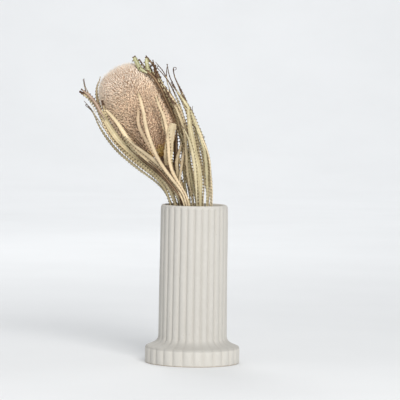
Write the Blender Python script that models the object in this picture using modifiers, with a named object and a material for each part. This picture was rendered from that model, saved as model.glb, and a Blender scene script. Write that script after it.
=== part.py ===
"""A dried banksia: one flower head on its leafy stem, standing in a fluted ceramic vase with a wide foot.

Lengths below are in millimetres. +X is right in the front view, +Y points away from the viewer
and +Z is up. The origin is the middle of the flat underside of the vase.
"""

import math
import random

import bpy
import numpy as np
from mathutils import Vector
from mathutils.kdtree import KDTree

MM = 0.001
GAP = 0.3
SEED = 28

# Vase
VASE_HEIGHT = 200.0
BODY_TOP_RADIUS = 42.5
LIP_RADIUS = 42.0
BODY_LOW_RADIUS = 43.5
BODY_LOW_Z = 33.5
FOOT_RADIUS = 60.0
FOOT_BAND_HEIGHT = 17.5
MOUTH_RADIUS = 37.0
FLOOR_Z = 14.0
RIBS = 28
POINTS_PER_RIB = 4
GROOVE_DEPTH = 1.9
GROOVE_PHASE = math.radians(-89.0)
GROOVE_WIDTH_SHARE = 0.2

# Stem: middle line through these points, and its radius at each
STEM_PATH = ((14, 2, 15.2), (8, 3, 60), (-1, 4, 120), (-13, 5, 185), (-24, 6, 226), (-39.9, 8, 260.7))
STEM_RADII = (4.6, 4.4, 4.3, 4.2, 4.6, 6.0)
STEM_SIDES = 10
STEM_STEPS = 16

# Flower head: it leans to the left of the stem
HEAD_BASE = Vector((-43.0, 8.0, 266.0))
HEAD_LEAN = math.radians(30.3)
HEAD_LENGTH = 117.0
HEAD_SHARES = (0.0, 0.03, 0.07, 0.13, 0.2, 0.3, 0.42, 0.55, 0.68, 0.78, 0.86, 0.92, 0.965, 0.992)
HEAD_RADII = (9.5, 16.0, 21.5, 26.0, 29.4, 32.4, 33.8, 34.2, 34.0, 32.6, 29.8, 25.8, 19.6, 10.5)
FLORETS_AROUND = 38
FLORET_ROWS = 30
FLORET_LENGTH = 4.2
FLORET_RISE = 0.45
CUSHION_THICKNESS = 5.0
CUSHION_RADIUS = 12.5
CUSHION_TOP_RADIUS = 8.6
CUSHION_WAIST_RADIUS = 9.4
CUSHION_END_RADIUS = 6.6
CUSHION_BRACTS = 18
BRACT_LENGTH = 2.6

# Leaves
LEAF_THICKNESS = 1.2
LEAF_FOLD = 0.9
TOOTH_SPACING = 11.0
TOOTH_DEPTH_SHARE = 0.34
TOOTH_LEAN = 0.68
PETIOLE_SHARE = 0.48
HIDDEN_UNITS = 3
LEAF_CLEARANCE = 2.0
LINE_STEPS = 111
RISE_PER_SPREAD = 3.5
ROOT_STAGGER = 11.0
LOWEST_LEAF_Z = 24.0
HIGHEST_LEAF_Z = 176.0
BODY_CLEARANCE = 1.0
EVENING_ROUNDS = 12
MOST_TRIES = 1400
UNMEASURED = 3.0
NEAR_MISS = 0.6
LARGEST_SLIMMING = 0.35
LARGEST_NUDGE = (5.0, 22.0, 30.0, 0.6)

# Colour, roughness of each material
MATERIALS = {
    "vase_ceramic": ((0.66, 0.63, 0.58), 0.72),
    "stem_wood": ((0.16, 0.09, 0.05), 0.85),
    "bract_wool": ((0.50, 0.27, 0.05), 0.95),
    "floret_felt": ((0.56, 0.37, 0.24), 0.95),
    "leaf_cream": ((0.60, 0.49, 0.29), 0.75),
    "leaf_khaki": ((0.40, 0.34, 0.17), 0.75),
    "leaf_olive": ((0.22, 0.20, 0.10), 0.80),
    "leaf_brown": ((0.20, 0.12, 0.07), 0.85),
}

# Single leaves: name, material, greatest width, facing of the tip in degrees (-90 looks at the
# viewer), then the points its middle line passes, from the mouth of the vase to the tip
SINGLE_LEAVES = (
    ("leaf_left_strand_1", "leaf_khaki", 3.2, -60, (
        (-28, -2, 200), (-44, -8, 224), (-69, -14, 243), (-95, -16, 264), (-115, -15, 287),
        (-124, -13, 303), (-131, -12, 318), (-144, -12, 326))),
    ("leaf_left_strand_2", "leaf_cream", 3.0, -60, (
        (-29, 7, 200), (-43, 5, 227), (-68, 0, 246), (-93, -2, 267), (-112, -1, 290),
        (-121, 0, 310), (-129, 1, 330), (-141, 2, 344), (-142, 3, 357))),
    ("leaf_cradle_1", "leaf_khaki", 9.5, -85, (
        (-24, -14, 200), (-35, -21, 226), (-56, -28, 249), (-79, -31, 265), (-99, -31, 284),
        (-113, -28, 305), (-127, -25, 328), (-147, -24, 342))),
    ("leaf_cradle_2", "leaf_khaki", 8.5, -80, (
        (-28, -9, 200), (-40, -14, 227), (-62, -20, 248), (-85, -23, 266), (-104, -23, 288),
        (-112, -21, 308), (-119, -19, 330))),
    ("leaf_cradle_3", "leaf_olive", 6.5, -70, (
        (-25, 20, 200), (-41, 26, 231), (-63, 28, 256), (-89, 25, 276), (-112, 20, 300),
        (-124, 16, 325), (-127, 15, 347), (-120, 14, 360))),
    ("leaf_pale_front_1", "leaf_cream", 6.5, -92, (
        (-12, -31, 200), (-18, -34, 214), (-31, -38, 235), (-51, -41, 252), (-70, -43, 267),
        (-85, -42, 284), (-99, -39, 305), (-112, -35, 319))),
    ("leaf_pale_front_2", "leaf_cream", 5.5, -96, (
        (-19, -24, 200), (-29, -30, 221), (-46, -36, 242), (-65, -39, 257), (-82, -40, 273),
        (-94, -38, 291), (-101, -36, 303))),
    ("leaf_over_head_1", "leaf_cream", 5.0, -98, (
        (-18, -15, 200), (-28, -23, 227), (-42, -33, 250), (-57, -38, 273), (-69, -40, 294),
        (-73, -41, 308), (-71, -41, 321))),
    ("leaf_over_head_2", "leaf_cream", 5.2, -88, (
        (-12, -20, 200), (-24, -28, 227), (-40, -36, 252), (-51, -39, 276), (-60, -41, 299),
        (-63, -42, 318), (-68, -41, 341))),
    ("leaf_over_head_3", "leaf_cream", 4.8, -80, (
        (-8, -26, 200), (-21, -31, 226), (-33, -34, 250), (-35, -36, 278), (-38, -37, 300),
        (-45, -36, 322), (-52, -34, 336))),
    ("leaf_over_head_4", "leaf_khaki", 4.6, -75, (
        (-6, -17, 200), (-20, -22, 226), (-31, -26, 248), (-30, -30, 272), (-33, -31, 290),
        (-39, -31, 305))),
    ("leaf_crossing_1", "leaf_cream", 5.0, -70, (
        (-22, -7, 200), (-22, -12, 227), (-18, -17, 256), (-13, -20, 285), (-16, -20, 308),
        (-25, -18, 328), (-36, -16, 346))),
    ("leaf_crossing_2", "leaf_khaki", 5.0, -110, (
        (-9, -3, 200), (-20, -6, 232), (-23, -8, 255), (-19, -9, 270), (-16, -8, 290))),
    ("leaf_head_side_1", "leaf_brown", 8.0, -25, (
        (-5, 9, 200), (-13, 4, 240), (-16, 0, 276), (-22, -2, 303), (-33, -2, 329),
        (-47, -1, 351), (-58, 0, 366), (-63, 1, 379))),
    ("leaf_head_side_2", "leaf_olive", 7.0, -50, (
        (-8, 16, 200), (-14, 15, 240), (-17, 13, 280), (-25, 13, 312), (-38, 13, 340),
        (-52, 13, 361), (-63, 12, 371), (-65, 11, 386))),
    ("leaf_head_side_3", "leaf_khaki", 6.5, -75, (
        (-12, 22, 200), (-15, 24, 240), (-18, 24, 280), (-28, 24, 314), (-41, 24, 342),
        (-56, 22, 366), (-69, 19, 373), (-75, 17, 386))),
    ("leaf_head_side_4", "leaf_brown", 6.0, -40, (
        (-2, 3, 200), (-9, -4, 240), (-11, -7, 276), (-16, -8, 304), (-26, -8, 326),
        (-37, -7, 345), (-48, -6, 361))),
    ("leaf_tall_tip_1", "leaf_olive", 3.4, -60, (
        (1, 12, 200), (-4, 9, 245), (-8, 8, 285), (-17, 7, 318), (-29, 6, 346),
        (-40, 6, 362), (-54, 7, 377))),
    ("leaf_tall_tip_2", "leaf_khaki", 3.2, -70, (
        (5, 16, 200), (2, 15, 250), (-4, 17, 292), (-15, 17, 325), (-29, 16, 350),
        (-36, 16, 362), (-37, 16, 378))),
    ("leaf_tall_tip_3", "leaf_khaki", 3.6, -80, (
        (9, 12, 200), (7, 9, 245), (1, 8, 288), (-9, 8, 321), (-20, 8, 345),
        (-29, 9, 362), (-31, 9, 379))),
    ("leaf_outer_edge", "leaf_olive", 6.0, -65, (
        (14, 5, 200), (14, 0, 232), (12, -3, 262), (6, -4, 285), (-3, -5, 309),
        (-15, -5, 331), (-34, -4, 354))),
    ("leaf_blunt_broad", "leaf_khaki", 11.0, -88, (
        (8, -20, 200), (8, -25, 227), (4, -28, 250), (-1, -29, 271), (-5, -30, 293),
        (-9, -29, 321))),
    ("leaf_right_strand", "leaf_cream", 3.0, -50, (
        (18, -3, 200), (19, -6, 231), (17, -8, 262), (11, -8, 277), (5, -7, 293),
        (0, -6, 308), (-6, -5, 325))),
)

# Fans: name, materials in turn, number, greatest width, facing of the tip,
# how far the middle ones bow back, then one path and the other
LEAF_FANS = (
    ("leaf_upright", ("leaf_cream", "leaf_khaki"), 2, 6.2, -85, 0,
     ((0, -31, 200), (-1, -35, 230), (-4, -37, 262), (-10, -36, 292), (-19, -33, 322)),
     ((17, -13, 200), (17, -17, 232), (13, -19, 262), (7, -19, 288), (-1, -18, 308))),
    ("leaf_inner", ("leaf_olive", "leaf_khaki"), 4, 6.0, -75, 0,
     ((2, -9, 200), (-5, -13, 232), (-10, -15, 262), (-15, -15, 288), (-22, -14, 312)),
     ((18, 2, 200), (18, -2, 232), (14, -5, 262), (9, -5, 290), (1, -5, 316))),
    ("leaf_behind", ("leaf_brown", "leaf_olive"), 2, 6.5, -80, 0,
     ((-20, 14, 200), (-27, 22, 235), (-26, 31, 265), (-28, 42, 295), (-38, 49, 322)),
     ((-3, 22, 200), (-11, 28, 235), (-14, 32, 265), (-20, 35, 300), (-32, 37, 330))),
    ("leaf_back", ("leaf_khaki", "leaf_cream", "leaf_olive"), 7, 6.8, 80, 8,
     ((-24, 25, 200), (-42, 44, 232), (-65, 60, 262), (-87, 68, 292), (-105, 69, 322)),
     ((21, 20, 200), (20, 33, 235), (15, 44, 270), (5, 51, 305), (-10, 54, 334))),
)


def material(name: str) -> bpy.types.Material:
    """Gives the named material, made on first use."""
    found = bpy.data.materials.get(name)
    if found:
        return found
    colour, roughness = MATERIALS[name]
    made = bpy.data.materials.new(name)
    made.use_nodes = True
    shader = made.node_tree.nodes["Principled BSDF"]
    shader.inputs["Base Color"].default_value = (*colour, 1.0)
    shader.inputs["Roughness"].default_value = roughness
    shader.inputs["Metallic"].default_value = 0.0
    made.diffuse_color = (*colour, 1.0)
    return made


def add_node(name: str, points: np.ndarray, faces: list, slot: str, home: bpy.types.Collection):
    """Makes a flat-shaded mesh object from points in millimetres and puts it in the collection."""
    mesh = bpy.data.meshes.new(name)
    mesh.from_pydata([tuple(p * MM) for p in points], [], faces)
    mesh.validate()
    node = bpy.data.objects.new(name, mesh)
    home.objects.link(node)
    mesh.materials.append(material(slot))
    return node


def spread_rows(wanted: np.ndarray, source: np.ndarray, rows: np.ndarray) -> np.ndarray:
    """Reads the rows at the wanted places between their source places."""
    return np.column_stack([np.interp(wanted, source, rows[:, axis]) for axis in range(3)])


def unit(rows: np.ndarray) -> np.ndarray:
    """Scales each row to length one."""
    return rows / np.linalg.norm(rows, axis=-1, keepdims=True)


def smooth_path(points, steps: int) -> np.ndarray:
    """Samples a curve that passes through every given point, evenly by length."""
    line = np.array(points, float)
    line = np.vstack([2 * line[0] - line[1], line, 2 * line[-1] - line[-2]])
    share = np.linspace(0.0, 1.0, 12, endpoint=False)[:, None]
    before, start, end, after = (line[first:len(line) - 3 + first, None] for first in range(4))
    fine = 0.5 * (2 * start + (end - before) * share + (2 * before - 5 * start + 4 * end - after) * share**2
                  + (3 * start - before - 3 * end + after) * share**3)
    fine = np.vstack([fine.reshape(-1, 3), line[-2]])
    travelled = np.concatenate([[0.0], np.cumsum(np.linalg.norm(np.diff(fine, axis=0), axis=1))])
    return spread_rows(np.linspace(0.0, travelled[-1], steps), travelled, fine)


STEM_LINE = smooth_path(STEM_PATH, 120)


def stem_point(height: float) -> np.ndarray:
    """The point of the stem's middle line at this height."""
    return np.array([np.interp(height, STEM_LINE[:, 2], STEM_LINE[:, axis]) for axis in range(3)])


def stem_radius(height: float) -> float:
    """The stem's radius at this height."""
    return float(np.interp(height, [p[2] for p in STEM_PATH], STEM_RADII))


def build_vase(home: bpy.types.Collection):
    """Turns the vase's profile round the axis and presses the grooves between its ribs."""
    profile = (
        (0.0, FLOOR_Z), (30.0, FLOOR_Z), (35.2, FLOOR_Z + 2.4), (MOUTH_RADIUS, FLOOR_Z + 8.0),
        (MOUTH_RADIUS, VASE_HEIGHT - 3.0), (37.7, VASE_HEIGHT - 0.9), (39.3, VASE_HEIGHT),
        (41.1, VASE_HEIGHT - 0.8), (42.1, VASE_HEIGHT - 2.6), (BODY_TOP_RADIUS, VASE_HEIGHT - 5.5),
        (BODY_LOW_RADIUS, BODY_LOW_Z), (44.2, 29.8), (46.3, 26.9), (50.4, 24.4), (57.0, 21.6),
        (59.3, 19.9), (FOOT_RADIUS, FOOT_BAND_HEIGHT), (FOOT_RADIUS, 1.6), (58.6, 0.0), (0.0, 0.0),
    )
    mesh = bpy.data.meshes.new("vase")
    edges = [(i, i + 1) for i in range(len(profile) - 1)]
    mesh.from_pydata([(x * MM, 0.0, z * MM) for x, z in profile], edges, [])
    node = bpy.data.objects.new("vase", mesh)
    home.objects.link(node)
    turn = node.modifiers.new("turn", "SCREW")
    turn.steps = RIBS * POINTS_PER_RIB
    turn.render_steps = turn.steps
    turn.use_merge_vertices = True
    turn.merge_threshold = 0.0001
    turn.use_normal_calculate = True
    bpy.context.view_layer.objects.active = node
    bpy.ops.object.modifier_apply(modifier=turn.name)
    for vertex in node.data.vertices:
        press_groove(vertex)
    node.data.materials.append(material("vase_ceramic"))
    node.data.shade_smooth()
    return node


def press_groove(vertex: bpy.types.MeshVertex) -> None:
    """Moves one outer vertex of the turned vase onto the line of its rib or groove."""
    x, y, z = vertex.co / MM
    radius = math.hypot(x, y)
    if radius < LIP_RADIUS or z < 0.5:
        return
    step = round((math.atan2(y, x) - GROOVE_PHASE) / math.tau * RIBS * POINTS_PER_RIB)
    rib, place = divmod(step, POINTS_PER_RIB)
    share = (0.0, GROOVE_WIDTH_SHARE, 0.5, 1.0 - GROOVE_WIDTH_SHARE)[place]
    depth = (1.0, 0.22, 0.0, 0.22)[place] * GROOVE_DEPTH
    if z > VASE_HEIGHT - 4.0:
        depth *= 0.3
    elif BODY_LOW_Z > z > FOOT_BAND_HEIGHT + 1.0:
        depth *= 0.6
    angle = GROOVE_PHASE + (rib + share) * math.tau / RIBS
    vertex.co.x = (radius - depth) * math.cos(angle) * MM
    vertex.co.y = (radius - depth) * math.sin(angle) * MM


def build_stem(home: bpy.types.Collection):
    """Sweeps the woody stem from the floor of the vase to the flower head."""
    line = smooth_path(STEM_PATH, STEM_STEPS)
    curve = bpy.data.curves.new("stem", "CURVE")
    curve.dimensions = "3D"
    curve.bevel_mode = "ROUND"
    curve.bevel_depth = MM
    curve.bevel_resolution = STEM_SIDES // 2 - 2
    curve.use_fill_caps = True
    spline = curve.splines.new("POLY")
    spline.points.add(len(line) - 1)
    for point, place in zip(spline.points, line):
        point.co = (*(place * MM), 1.0)
        point.radius = stem_radius(place[2])
    node = bpy.data.objects.new("stem", curve)
    home.objects.link(node)
    curve.materials.append(material("stem_wood"))
    return node


def head_frame() -> tuple:
    """The head's axis and two directions across it."""
    axis = np.array((-math.sin(HEAD_LEAN), 0.0, math.cos(HEAD_LEAN)))
    across = np.array((math.cos(HEAD_LEAN), 0.0, math.sin(HEAD_LEAN)))
    return axis, across, np.cross(axis, across)


def head_radius(share: float) -> float:
    """The core's radius at this share of the head's length."""
    return float(np.interp(share, HEAD_SHARES, HEAD_RADII))


def build_head(home: bpy.types.Collection):
    """Covers the head's core with pointed florets, staggered row by row."""
    axis, across, along = head_frame()
    base = np.array(HEAD_BASE)
    rings, peaks = [], []
    shares = np.linspace(0.0, HEAD_SHARES[-1], FLORET_ROWS + 2)
    for row, share in enumerate(shares):
        turn = (np.arange(FLORETS_AROUND) + 0.5 * (row % 2)) * math.tau / FLORETS_AROUND
        out = np.outer(np.cos(turn), across) + np.outer(np.sin(turn), along)
        centre = base + axis * share * HEAD_LENGTH
        rings.append(centre + out * head_radius(share))
        rise = share * share * share
        point = unit(out * (1.0 - 0.75 * rise) + axis * (FLORET_RISE + rise))
        size = FLORET_LENGTH * (0.55 + 0.45 * math.sin(math.pi * min(1.0, share * 1.15 + 0.15)))
        peaks.append(centre + out * head_radius(share) + point * size)
    count = FLORETS_AROUND
    points = [*np.vstack(rings)]
    faces = []
    for row in range(1, len(rings) - 1):
        for i in range(count):
            near = i if row % 2 else (i - 1) % count
            low = (row - 1) * count + (near + 1) % count
            high = (row + 1) * count + (near + 1) % count
            left = row * count + i
            right = row * count + (i + 1) % count
            tip = len(points)
            points.append((peaks[row][i] + peaks[row][(i + 1) % count]) / 2)
            faces += [(low, right, tip), (right, high, tip), (high, left, tip), (left, low, tip)]
    top = len(rings) - 1
    close_end(points, faces, count, 0, base, 1)
    close_end(points, faces, count, top, base + axis * HEAD_LENGTH, top - 1)
    return add_node("flower_head", np.array(points), faces, "floret_felt", home)


def close_end(points: list, faces: list, count: int, row: int, centre: np.ndarray, inner: int) -> None:
    """Fills the zigzag between this outer row and the one inside it, then closes the row with a fan."""
    start = row * count
    low = inner > row
    hub = len(points)
    points.append(centre)
    for i in range(count):
        a, b = start + i, start + (i + 1) % count
        nearer = inner * count + (i + row % 2) % count
        filled = [(a, b, nearer), (b, a, hub)]
        faces += filled if low else [face[::-1] for face in filled]


def build_cushion(home: bpy.types.Collection):
    """Sets the woolly bracts under the head as one low cushion with a pointed rim."""
    axis, across, along = head_frame()
    top = np.array(HEAD_BASE) - axis * GAP
    count = CUSHION_BRACTS * 2
    turn = np.arange(count) * math.tau / count
    out = np.outer(np.cos(turn), across) + np.outer(np.sin(turn), along)
    rim = np.where(np.arange(count) % 2, CUSHION_RADIUS, CUSHION_RADIUS - BRACT_LENGTH)[:, None]
    levels = (
        (0.0, CUSHION_TOP_RADIUS),
        (0.28, rim),
        (0.68, CUSHION_WAIST_RADIUS),
        (1.0, CUSHION_END_RADIUS),
    )
    rings = [top - axis * CUSHION_THICKNESS * share + out * radius for share, radius in levels]
    points = np.vstack([*rings, top[None], (top - axis * CUSHION_THICKNESS)[None]])
    faces = []
    for level in range(len(rings) - 1):
        for i in range(count):
            a, b = level * count + i, level * count + (i + 1) % count
            faces.append((b, a, a + count))
            faces.append((b, a + count, b + count))
    hub = len(rings) * count
    last = (len(rings) - 1) * count
    for i in range(count):
        faces.append((hub, i, (i + 1) % count))
        faces.append((hub + 1, last + (i + 1) % count, last + i))
    return add_node("bract_cushion", points, faces, "bract_wool", home)


def turned_round(rows: np.ndarray) -> np.ndarray:
    """Turns round the rows that point against the next one nearer the tip."""
    steps = (rows[1:] * rows[:-1]).sum(axis=1)
    signs = np.cumprod(np.append(np.where(steps < 0.0, -1.0, 1.0), 1.0)[::-1])[::-1]
    return rows * signs[:, None]


def evened_out(ahead: np.ndarray, across: np.ndarray) -> tuple:
    """Spreads a blade's turning along its length, and gives the way across it and out of its face."""
    ahead, across = turned_round(ahead), turned_round(across)
    for _ in range(EVENING_ROUNDS):
        held = np.vstack([across[:1], across, across[-1:]])
        across = held[:-2] + 2.0 * across + held[2:]
        across = unit(across - ahead * (across * ahead).sum(axis=1)[:, None])
    return across, np.cross(across, ahead)


class Leaf:
    """One leaf blade: its middle line, its width along that line and the way it faces."""

    def __init__(self, name: str, slot: str, width: float, facing: float, path) -> None:
        self.name = name
        self.slot = slot
        self.width = width
        self.facing = math.radians(facing)
        self.path = np.array(path, float)

    def bent(self, drop: float, low: tuple, high: tuple, turn: float, slimming: float) -> None:
        """Sets the middle line from the shifts of its root, mouth and tip, and turns and slims the blade."""
        shift = np.zeros_like(self.path)
        shift[:, 0] = np.linspace(low[0], high[0], len(self.path))
        shift[:, 1] = np.linspace(low[1], high[1], len(self.path))
        self.turned = self.facing + turn
        self.slim = 1.0 - slimming
        mouth = self.path[0] + shift[0]
        beside = stem_point(mouth[2])
        spread = mouth - beside
        root_z = VASE_HEIGHT - RISE_PER_SPREAD * np.linalg.norm(spread[:2]) - drop
        root_z = min(max(root_z, LOWEST_LEAF_Z), HIGHEST_LEAF_Z)
        self.out = unit(np.array((spread[0], spread[1], 0.0)))
        seat = stem_radius(root_z) + GAP + LEAF_THICKNESS / 2
        root = stem_point(root_z) + self.out * seat
        hug = stem_point(root_z + 13.0) + self.out * (seat + 1.6)
        self.line = smooth_path([root, hug, *(self.path + shift)], LINE_STEPS)
        self.hidden = float(np.argmax(self.line[:, 2] > VASE_HEIGHT - 8.0)) / (LINE_STEPS - 1)

    def directions(self, line: np.ndarray) -> tuple:
        """The tangent, the way across the blade and the way out of its face, at each point of the line."""
        ahead = unit(np.gradient(line, axis=0))
        share = np.linspace(0.0, 1.0, len(line))[:, None]
        turn = np.clip((share - 0.1) / 0.5, 0.0, 1.0)
        goal = np.array((math.cos(self.turned), math.sin(self.turned), 0.0))
        face = unit(self.out * (1.0 - turn) + goal * turn + 1e-6)
        across = unit(np.cross(ahead, face))
        return ahead, across, np.cross(across, ahead)

    def half_width(self, share: np.ndarray) -> np.ndarray:
        """Half the width at these shares of the length: narrow in the vase, widest past the middle."""
        shown = (share - self.hidden) / (1.0 - self.hidden)
        grow = PETIOLE_SHARE + (1.0 - PETIOLE_SHARE) * np.clip(shown / 0.45, 0.0, 1.0)
        taper = np.clip((1.0 - shown) / 0.32, 0.0, 1.0) ** 0.8
        return self.width / 2 * self.slim * grow * (0.14 + 0.86 * taper)

    def unit_starts(self) -> np.ndarray:
        """The shares of the length where each toothed unit starts, with a few plain ones in the vase."""
        length = np.linalg.norm(np.diff(self.line, axis=0), axis=1).sum()
        teeth = max(6, round(length * (1.0 - self.hidden) / TOOTH_SPACING))
        plain = np.linspace(0.0, self.hidden, HIDDEN_UNITS, endpoint=False)
        return np.concatenate([plain, np.linspace(self.hidden, 1.0, teeth + 1)])

    def along(self, share: np.ndarray, evened: bool = False) -> tuple:
        """The middle line and the directions at these shares, straight between the units as the blade is."""
        starts = self.unit_starts()
        source = np.linspace(0.0, 1.0, LINE_STEPS)
        ahead, across, face = self.directions(self.line)
        if evened:
            across, face = evened_out(ahead, across)
        at_starts = [spread_rows(starts, source, row) for row in (self.line, across, face)]
        return tuple(spread_rows(share, starts, row) for row in at_starts)

    def cloud(self) -> np.ndarray:
        """Points spread over the blade, for measuring how near it comes to others."""
        share = np.linspace(0.0, 1.0, LINE_STEPS)
        line, across, face = self.along(share)
        half = self.half_width(share)[:, None]
        fold = LEAF_FOLD * half / (self.width / 2)
        return np.concatenate([line + across * half * side + face * fold * abs(side)
                               for side in (-1.0, -0.5, 0.0, 0.5, 1.0)])

    def mesh(self) -> tuple:
        """Points and faces of the blade: folded along its midrib, toothed along both edges."""
        starts = self.unit_starts()
        peaks = starts[:-1] + np.diff(starts) * TOOTH_LEAN
        share = np.append(np.column_stack([starts[:-1], peaks]).ravel(), 1.0)
        line, across, face = self.along(share, evened=True)
        half = self.half_width(share)
        half[2 * HIDDEN_UNITS::2] *= 1.0 - TOOTH_DEPTH_SHARE
        fold = face * (LEAF_FOLD * half / (self.width / 2))[:, None]
        left = line - across * half[:, None] + fold
        right = line + across * half[:, None] + fold
        body = LEAF_THICKNESS / 2 * (0.6 + 0.4 * np.clip((1.0 - share) / 0.25, 0.0, 1.0))[:, None]
        above = (line + face * body)[0:-1:2]
        below = (line - face * body)[0:-1:2]
        points = np.vstack([left[:-1], right[:-1], above, below, line[-1:]])
        return points, blade_faces(len(starts) - 1)


def blade_faces(teeth: int) -> list:
    """Joins the rows of a blade: two toothed edges, the midrib above and below, and the tip."""
    edge = 2 * teeth
    left, right, above, below, tip = 0, edge, 2 * edge, 2 * edge + teeth, 2 * edge + 2 * teeth
    faces = [(right, above, left), (below, right, left)]
    for tooth in range(teeth):
        valley, peak = 2 * tooth, 2 * tooth + 1
        last = tooth == teeth - 1
        for side, flip in ((left, False), (right, True)):
            after = tip if last else side + valley + 2
            for row, turned in ((above, flip), (below, not flip)):
                here = row + tooth
                there = tip if last else row + tooth + 1
                new = [(here, side + valley, side + peak), (here, side + peak, there)]
                if not last:
                    new.append((there, side + peak, after))
                faces += [face if turned else face[::-1] for face in new]
    return faces


def clearance(cloud: np.ndarray, placed: KDTree, any_placed: bool) -> float:
    """How far the blade keeps from earlier leaves, head, stem and vase, beyond what it needs."""
    axis, _, _ = head_frame()
    from_base = cloud - np.array(HEAD_BASE)
    along = from_base @ axis
    aside = np.linalg.norm(from_base - np.outer(along, axis), axis=1)
    share = np.clip(along / HEAD_LENGTH, 0.0, 1.0)
    skin = np.interp(share, HEAD_SHARES, HEAD_RADII) + FLORET_LENGTH
    beyond = np.maximum(-along - CUSHION_THICKNESS, along - HEAD_LENGTH - FLORET_LENGTH)
    head_room = np.where(beyond > 0, np.hypot(beyond, np.maximum(aside - skin, 0)), aside - skin)
    inside = cloud[:, 2] < VASE_HEIGHT + 2.0
    wall_room = MOUTH_RADIUS - np.hypot(cloud[inside, 0], cloud[inside, 1])
    high = cloud[cloud[:, 2] > VASE_HEIGHT - 20.0]
    stem = np.column_stack([np.interp(high[:, 2], STEM_LINE[:, 2], STEM_LINE[:, axis]) for axis in (0, 1)])
    stem_room = np.linalg.norm(high[:, :2] - stem, axis=1) - STEM_RADII[-1]
    stem_room = np.where(high[:, 2] > STEM_PATH[-1][2], 9.0, stem_room)
    room = min(head_room.min(), wall_room.min(), stem_room.min()) - BODY_CLEARANCE
    if room <= 0.0:
        return room - UNMEASURED
    if not any_placed:
        return room
    rough = min(placed.find(point)[2] for point in cloud[::5]) - LEAF_CLEARANCE
    if rough < -NEAR_MISS:
        return rough - UNMEASURED
    return min(room, min(placed.find(point)[2] for point in cloud) - LEAF_CLEARANCE)


def settle(leaves: list) -> None:
    """Nudges each leaf a little further at every try until it is clear of those placed before it."""
    taken = np.empty((0, 3))
    for index, leaf in enumerate(leaves):
        placed = KDTree(len(taken))
        for place, point in enumerate(taken):
            placed.insert(point, place)
        placed.balance()
        draw = random.Random(SEED + index)
        tried = []
        for number in range(MOST_TRIES):
            reach = number / MOST_TRIES
            side, depth, drop, turn = (draw.uniform(-most, most) * reach for most in LARGEST_NUDGE)
            tip_side = draw.uniform(-1, 1) * LARGEST_NUDGE[0] * reach
            tip_depth = depth + draw.uniform(-0.7, 0.7) * abs(depth)
            lower = drop + index * 3 % 5 * ROOT_STAGGER
            move = (lower, (side, depth), (tip_side, tip_depth), turn, LARGEST_SLIMMING * reach)
            leaf.bent(*move)
            room = clearance(leaf.cloud(), placed, len(taken) > 0)
            tried.append((room, move))
            if room > 0:
                break
        else:
            leaf.bent(*max(tried)[1])
        taken = np.vstack([taken, leaf.cloud()])


def all_leaves() -> list:
    """Lists the single leaves and those spread between the two paths of each fan."""
    draw = random.Random(SEED)
    leaves = [Leaf(*given) for given in SINGLE_LEAVES]
    for name, slots, count, width, facing, bow, first, last in LEAF_FANS:
        first, last = np.array(first, float), np.array(last, float)
        for number in range(count):
            share = number / (count - 1)
            path = first * (1.0 - share) + last * share
            path[:, 1] += bow * math.sin(math.pi * share)
            reach = draw.uniform(0.86, 1.04)
            path[1:] = path[0] + (path[1:] - path[0]) * reach
            path[-1] += np.array((draw.uniform(-6, 3), draw.uniform(-3, 3), draw.uniform(-4, 4)))
            turned = facing + draw.uniform(-35.0, 35.0)
            wide = width * draw.uniform(0.8, 1.1)
            leaves.append(Leaf(f"{name}_{number + 1}", slots[number % len(slots)], wide, turned, path))
    return leaves


def main() -> None:
    """Clears the scene and builds every piece."""
    for old in list(bpy.data.objects):
        bpy.data.objects.remove(old, do_unlink=True)
    home = bpy.data.collections.new("dried_banksia_in_vase")
    bpy.context.scene.collection.children.link(home)
    build_vase(home)
    build_stem(home)
    build_cushion(home)
    build_head(home)
    leaves = all_leaves()
    settle(leaves)
    for leaf in leaves:
        points, faces = leaf.mesh()
        add_node(leaf.name, points, faces, leaf.slot, home)


main()
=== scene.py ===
"""A dried banksia in a fluted vase: the finished pieces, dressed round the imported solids.

Lengths are in millimetres until a mesh is placed. +X is right in the front view, +Y points away
from the viewer and +Z is up. The origin is the middle of the flat underside of the vase.
"""

from __future__ import annotations

import logging
import math
import random
from collections.abc import Callable, Sequence
from dataclasses import dataclass, field
from enum import Enum

import bpy
import numpy as np
from mathutils import Matrix, Vector


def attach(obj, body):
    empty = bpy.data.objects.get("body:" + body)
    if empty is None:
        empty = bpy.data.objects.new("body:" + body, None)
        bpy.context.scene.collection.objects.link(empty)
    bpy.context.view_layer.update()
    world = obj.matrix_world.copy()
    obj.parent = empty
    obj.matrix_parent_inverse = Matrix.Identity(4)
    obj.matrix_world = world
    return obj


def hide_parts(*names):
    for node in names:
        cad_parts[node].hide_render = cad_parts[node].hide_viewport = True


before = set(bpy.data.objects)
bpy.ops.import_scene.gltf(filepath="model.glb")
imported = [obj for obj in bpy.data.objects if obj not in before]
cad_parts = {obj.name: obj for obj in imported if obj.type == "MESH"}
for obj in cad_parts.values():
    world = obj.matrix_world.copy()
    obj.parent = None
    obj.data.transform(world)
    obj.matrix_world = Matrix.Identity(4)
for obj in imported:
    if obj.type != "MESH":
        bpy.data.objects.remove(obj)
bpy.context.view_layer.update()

LOG = logging.getLogger("dried_banksia")
MM = 0.001
SEED = 28
ROOT_BODY = "root"

Colour = tuple[float, float, float]
Point = tuple[float, float, float]
Path = tuple[Point, ...]
Outline = tuple[tuple[float, float], ...]
Socket = bpy.types.NodeSocket


class Slot(Enum):
    """The material slots of the record."""

    CERAMIC = "vase_ceramic"
    BARK = "stem_wood"
    WOOL = "bract_wool"
    FELT = "floret_felt"
    CREAM = "leaf_cream"
    KHAKI = "leaf_khaki"
    OLIVE = "leaf_olive"
    BROWN = "leaf_brown"


class Skin(Enum):
    """Leaf skins besides the four that go with the slots."""

    GREEN = "pale_green_tip"
    ROSY = "rosy_strip"
    MAUVE = "mauve_tip"


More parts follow.
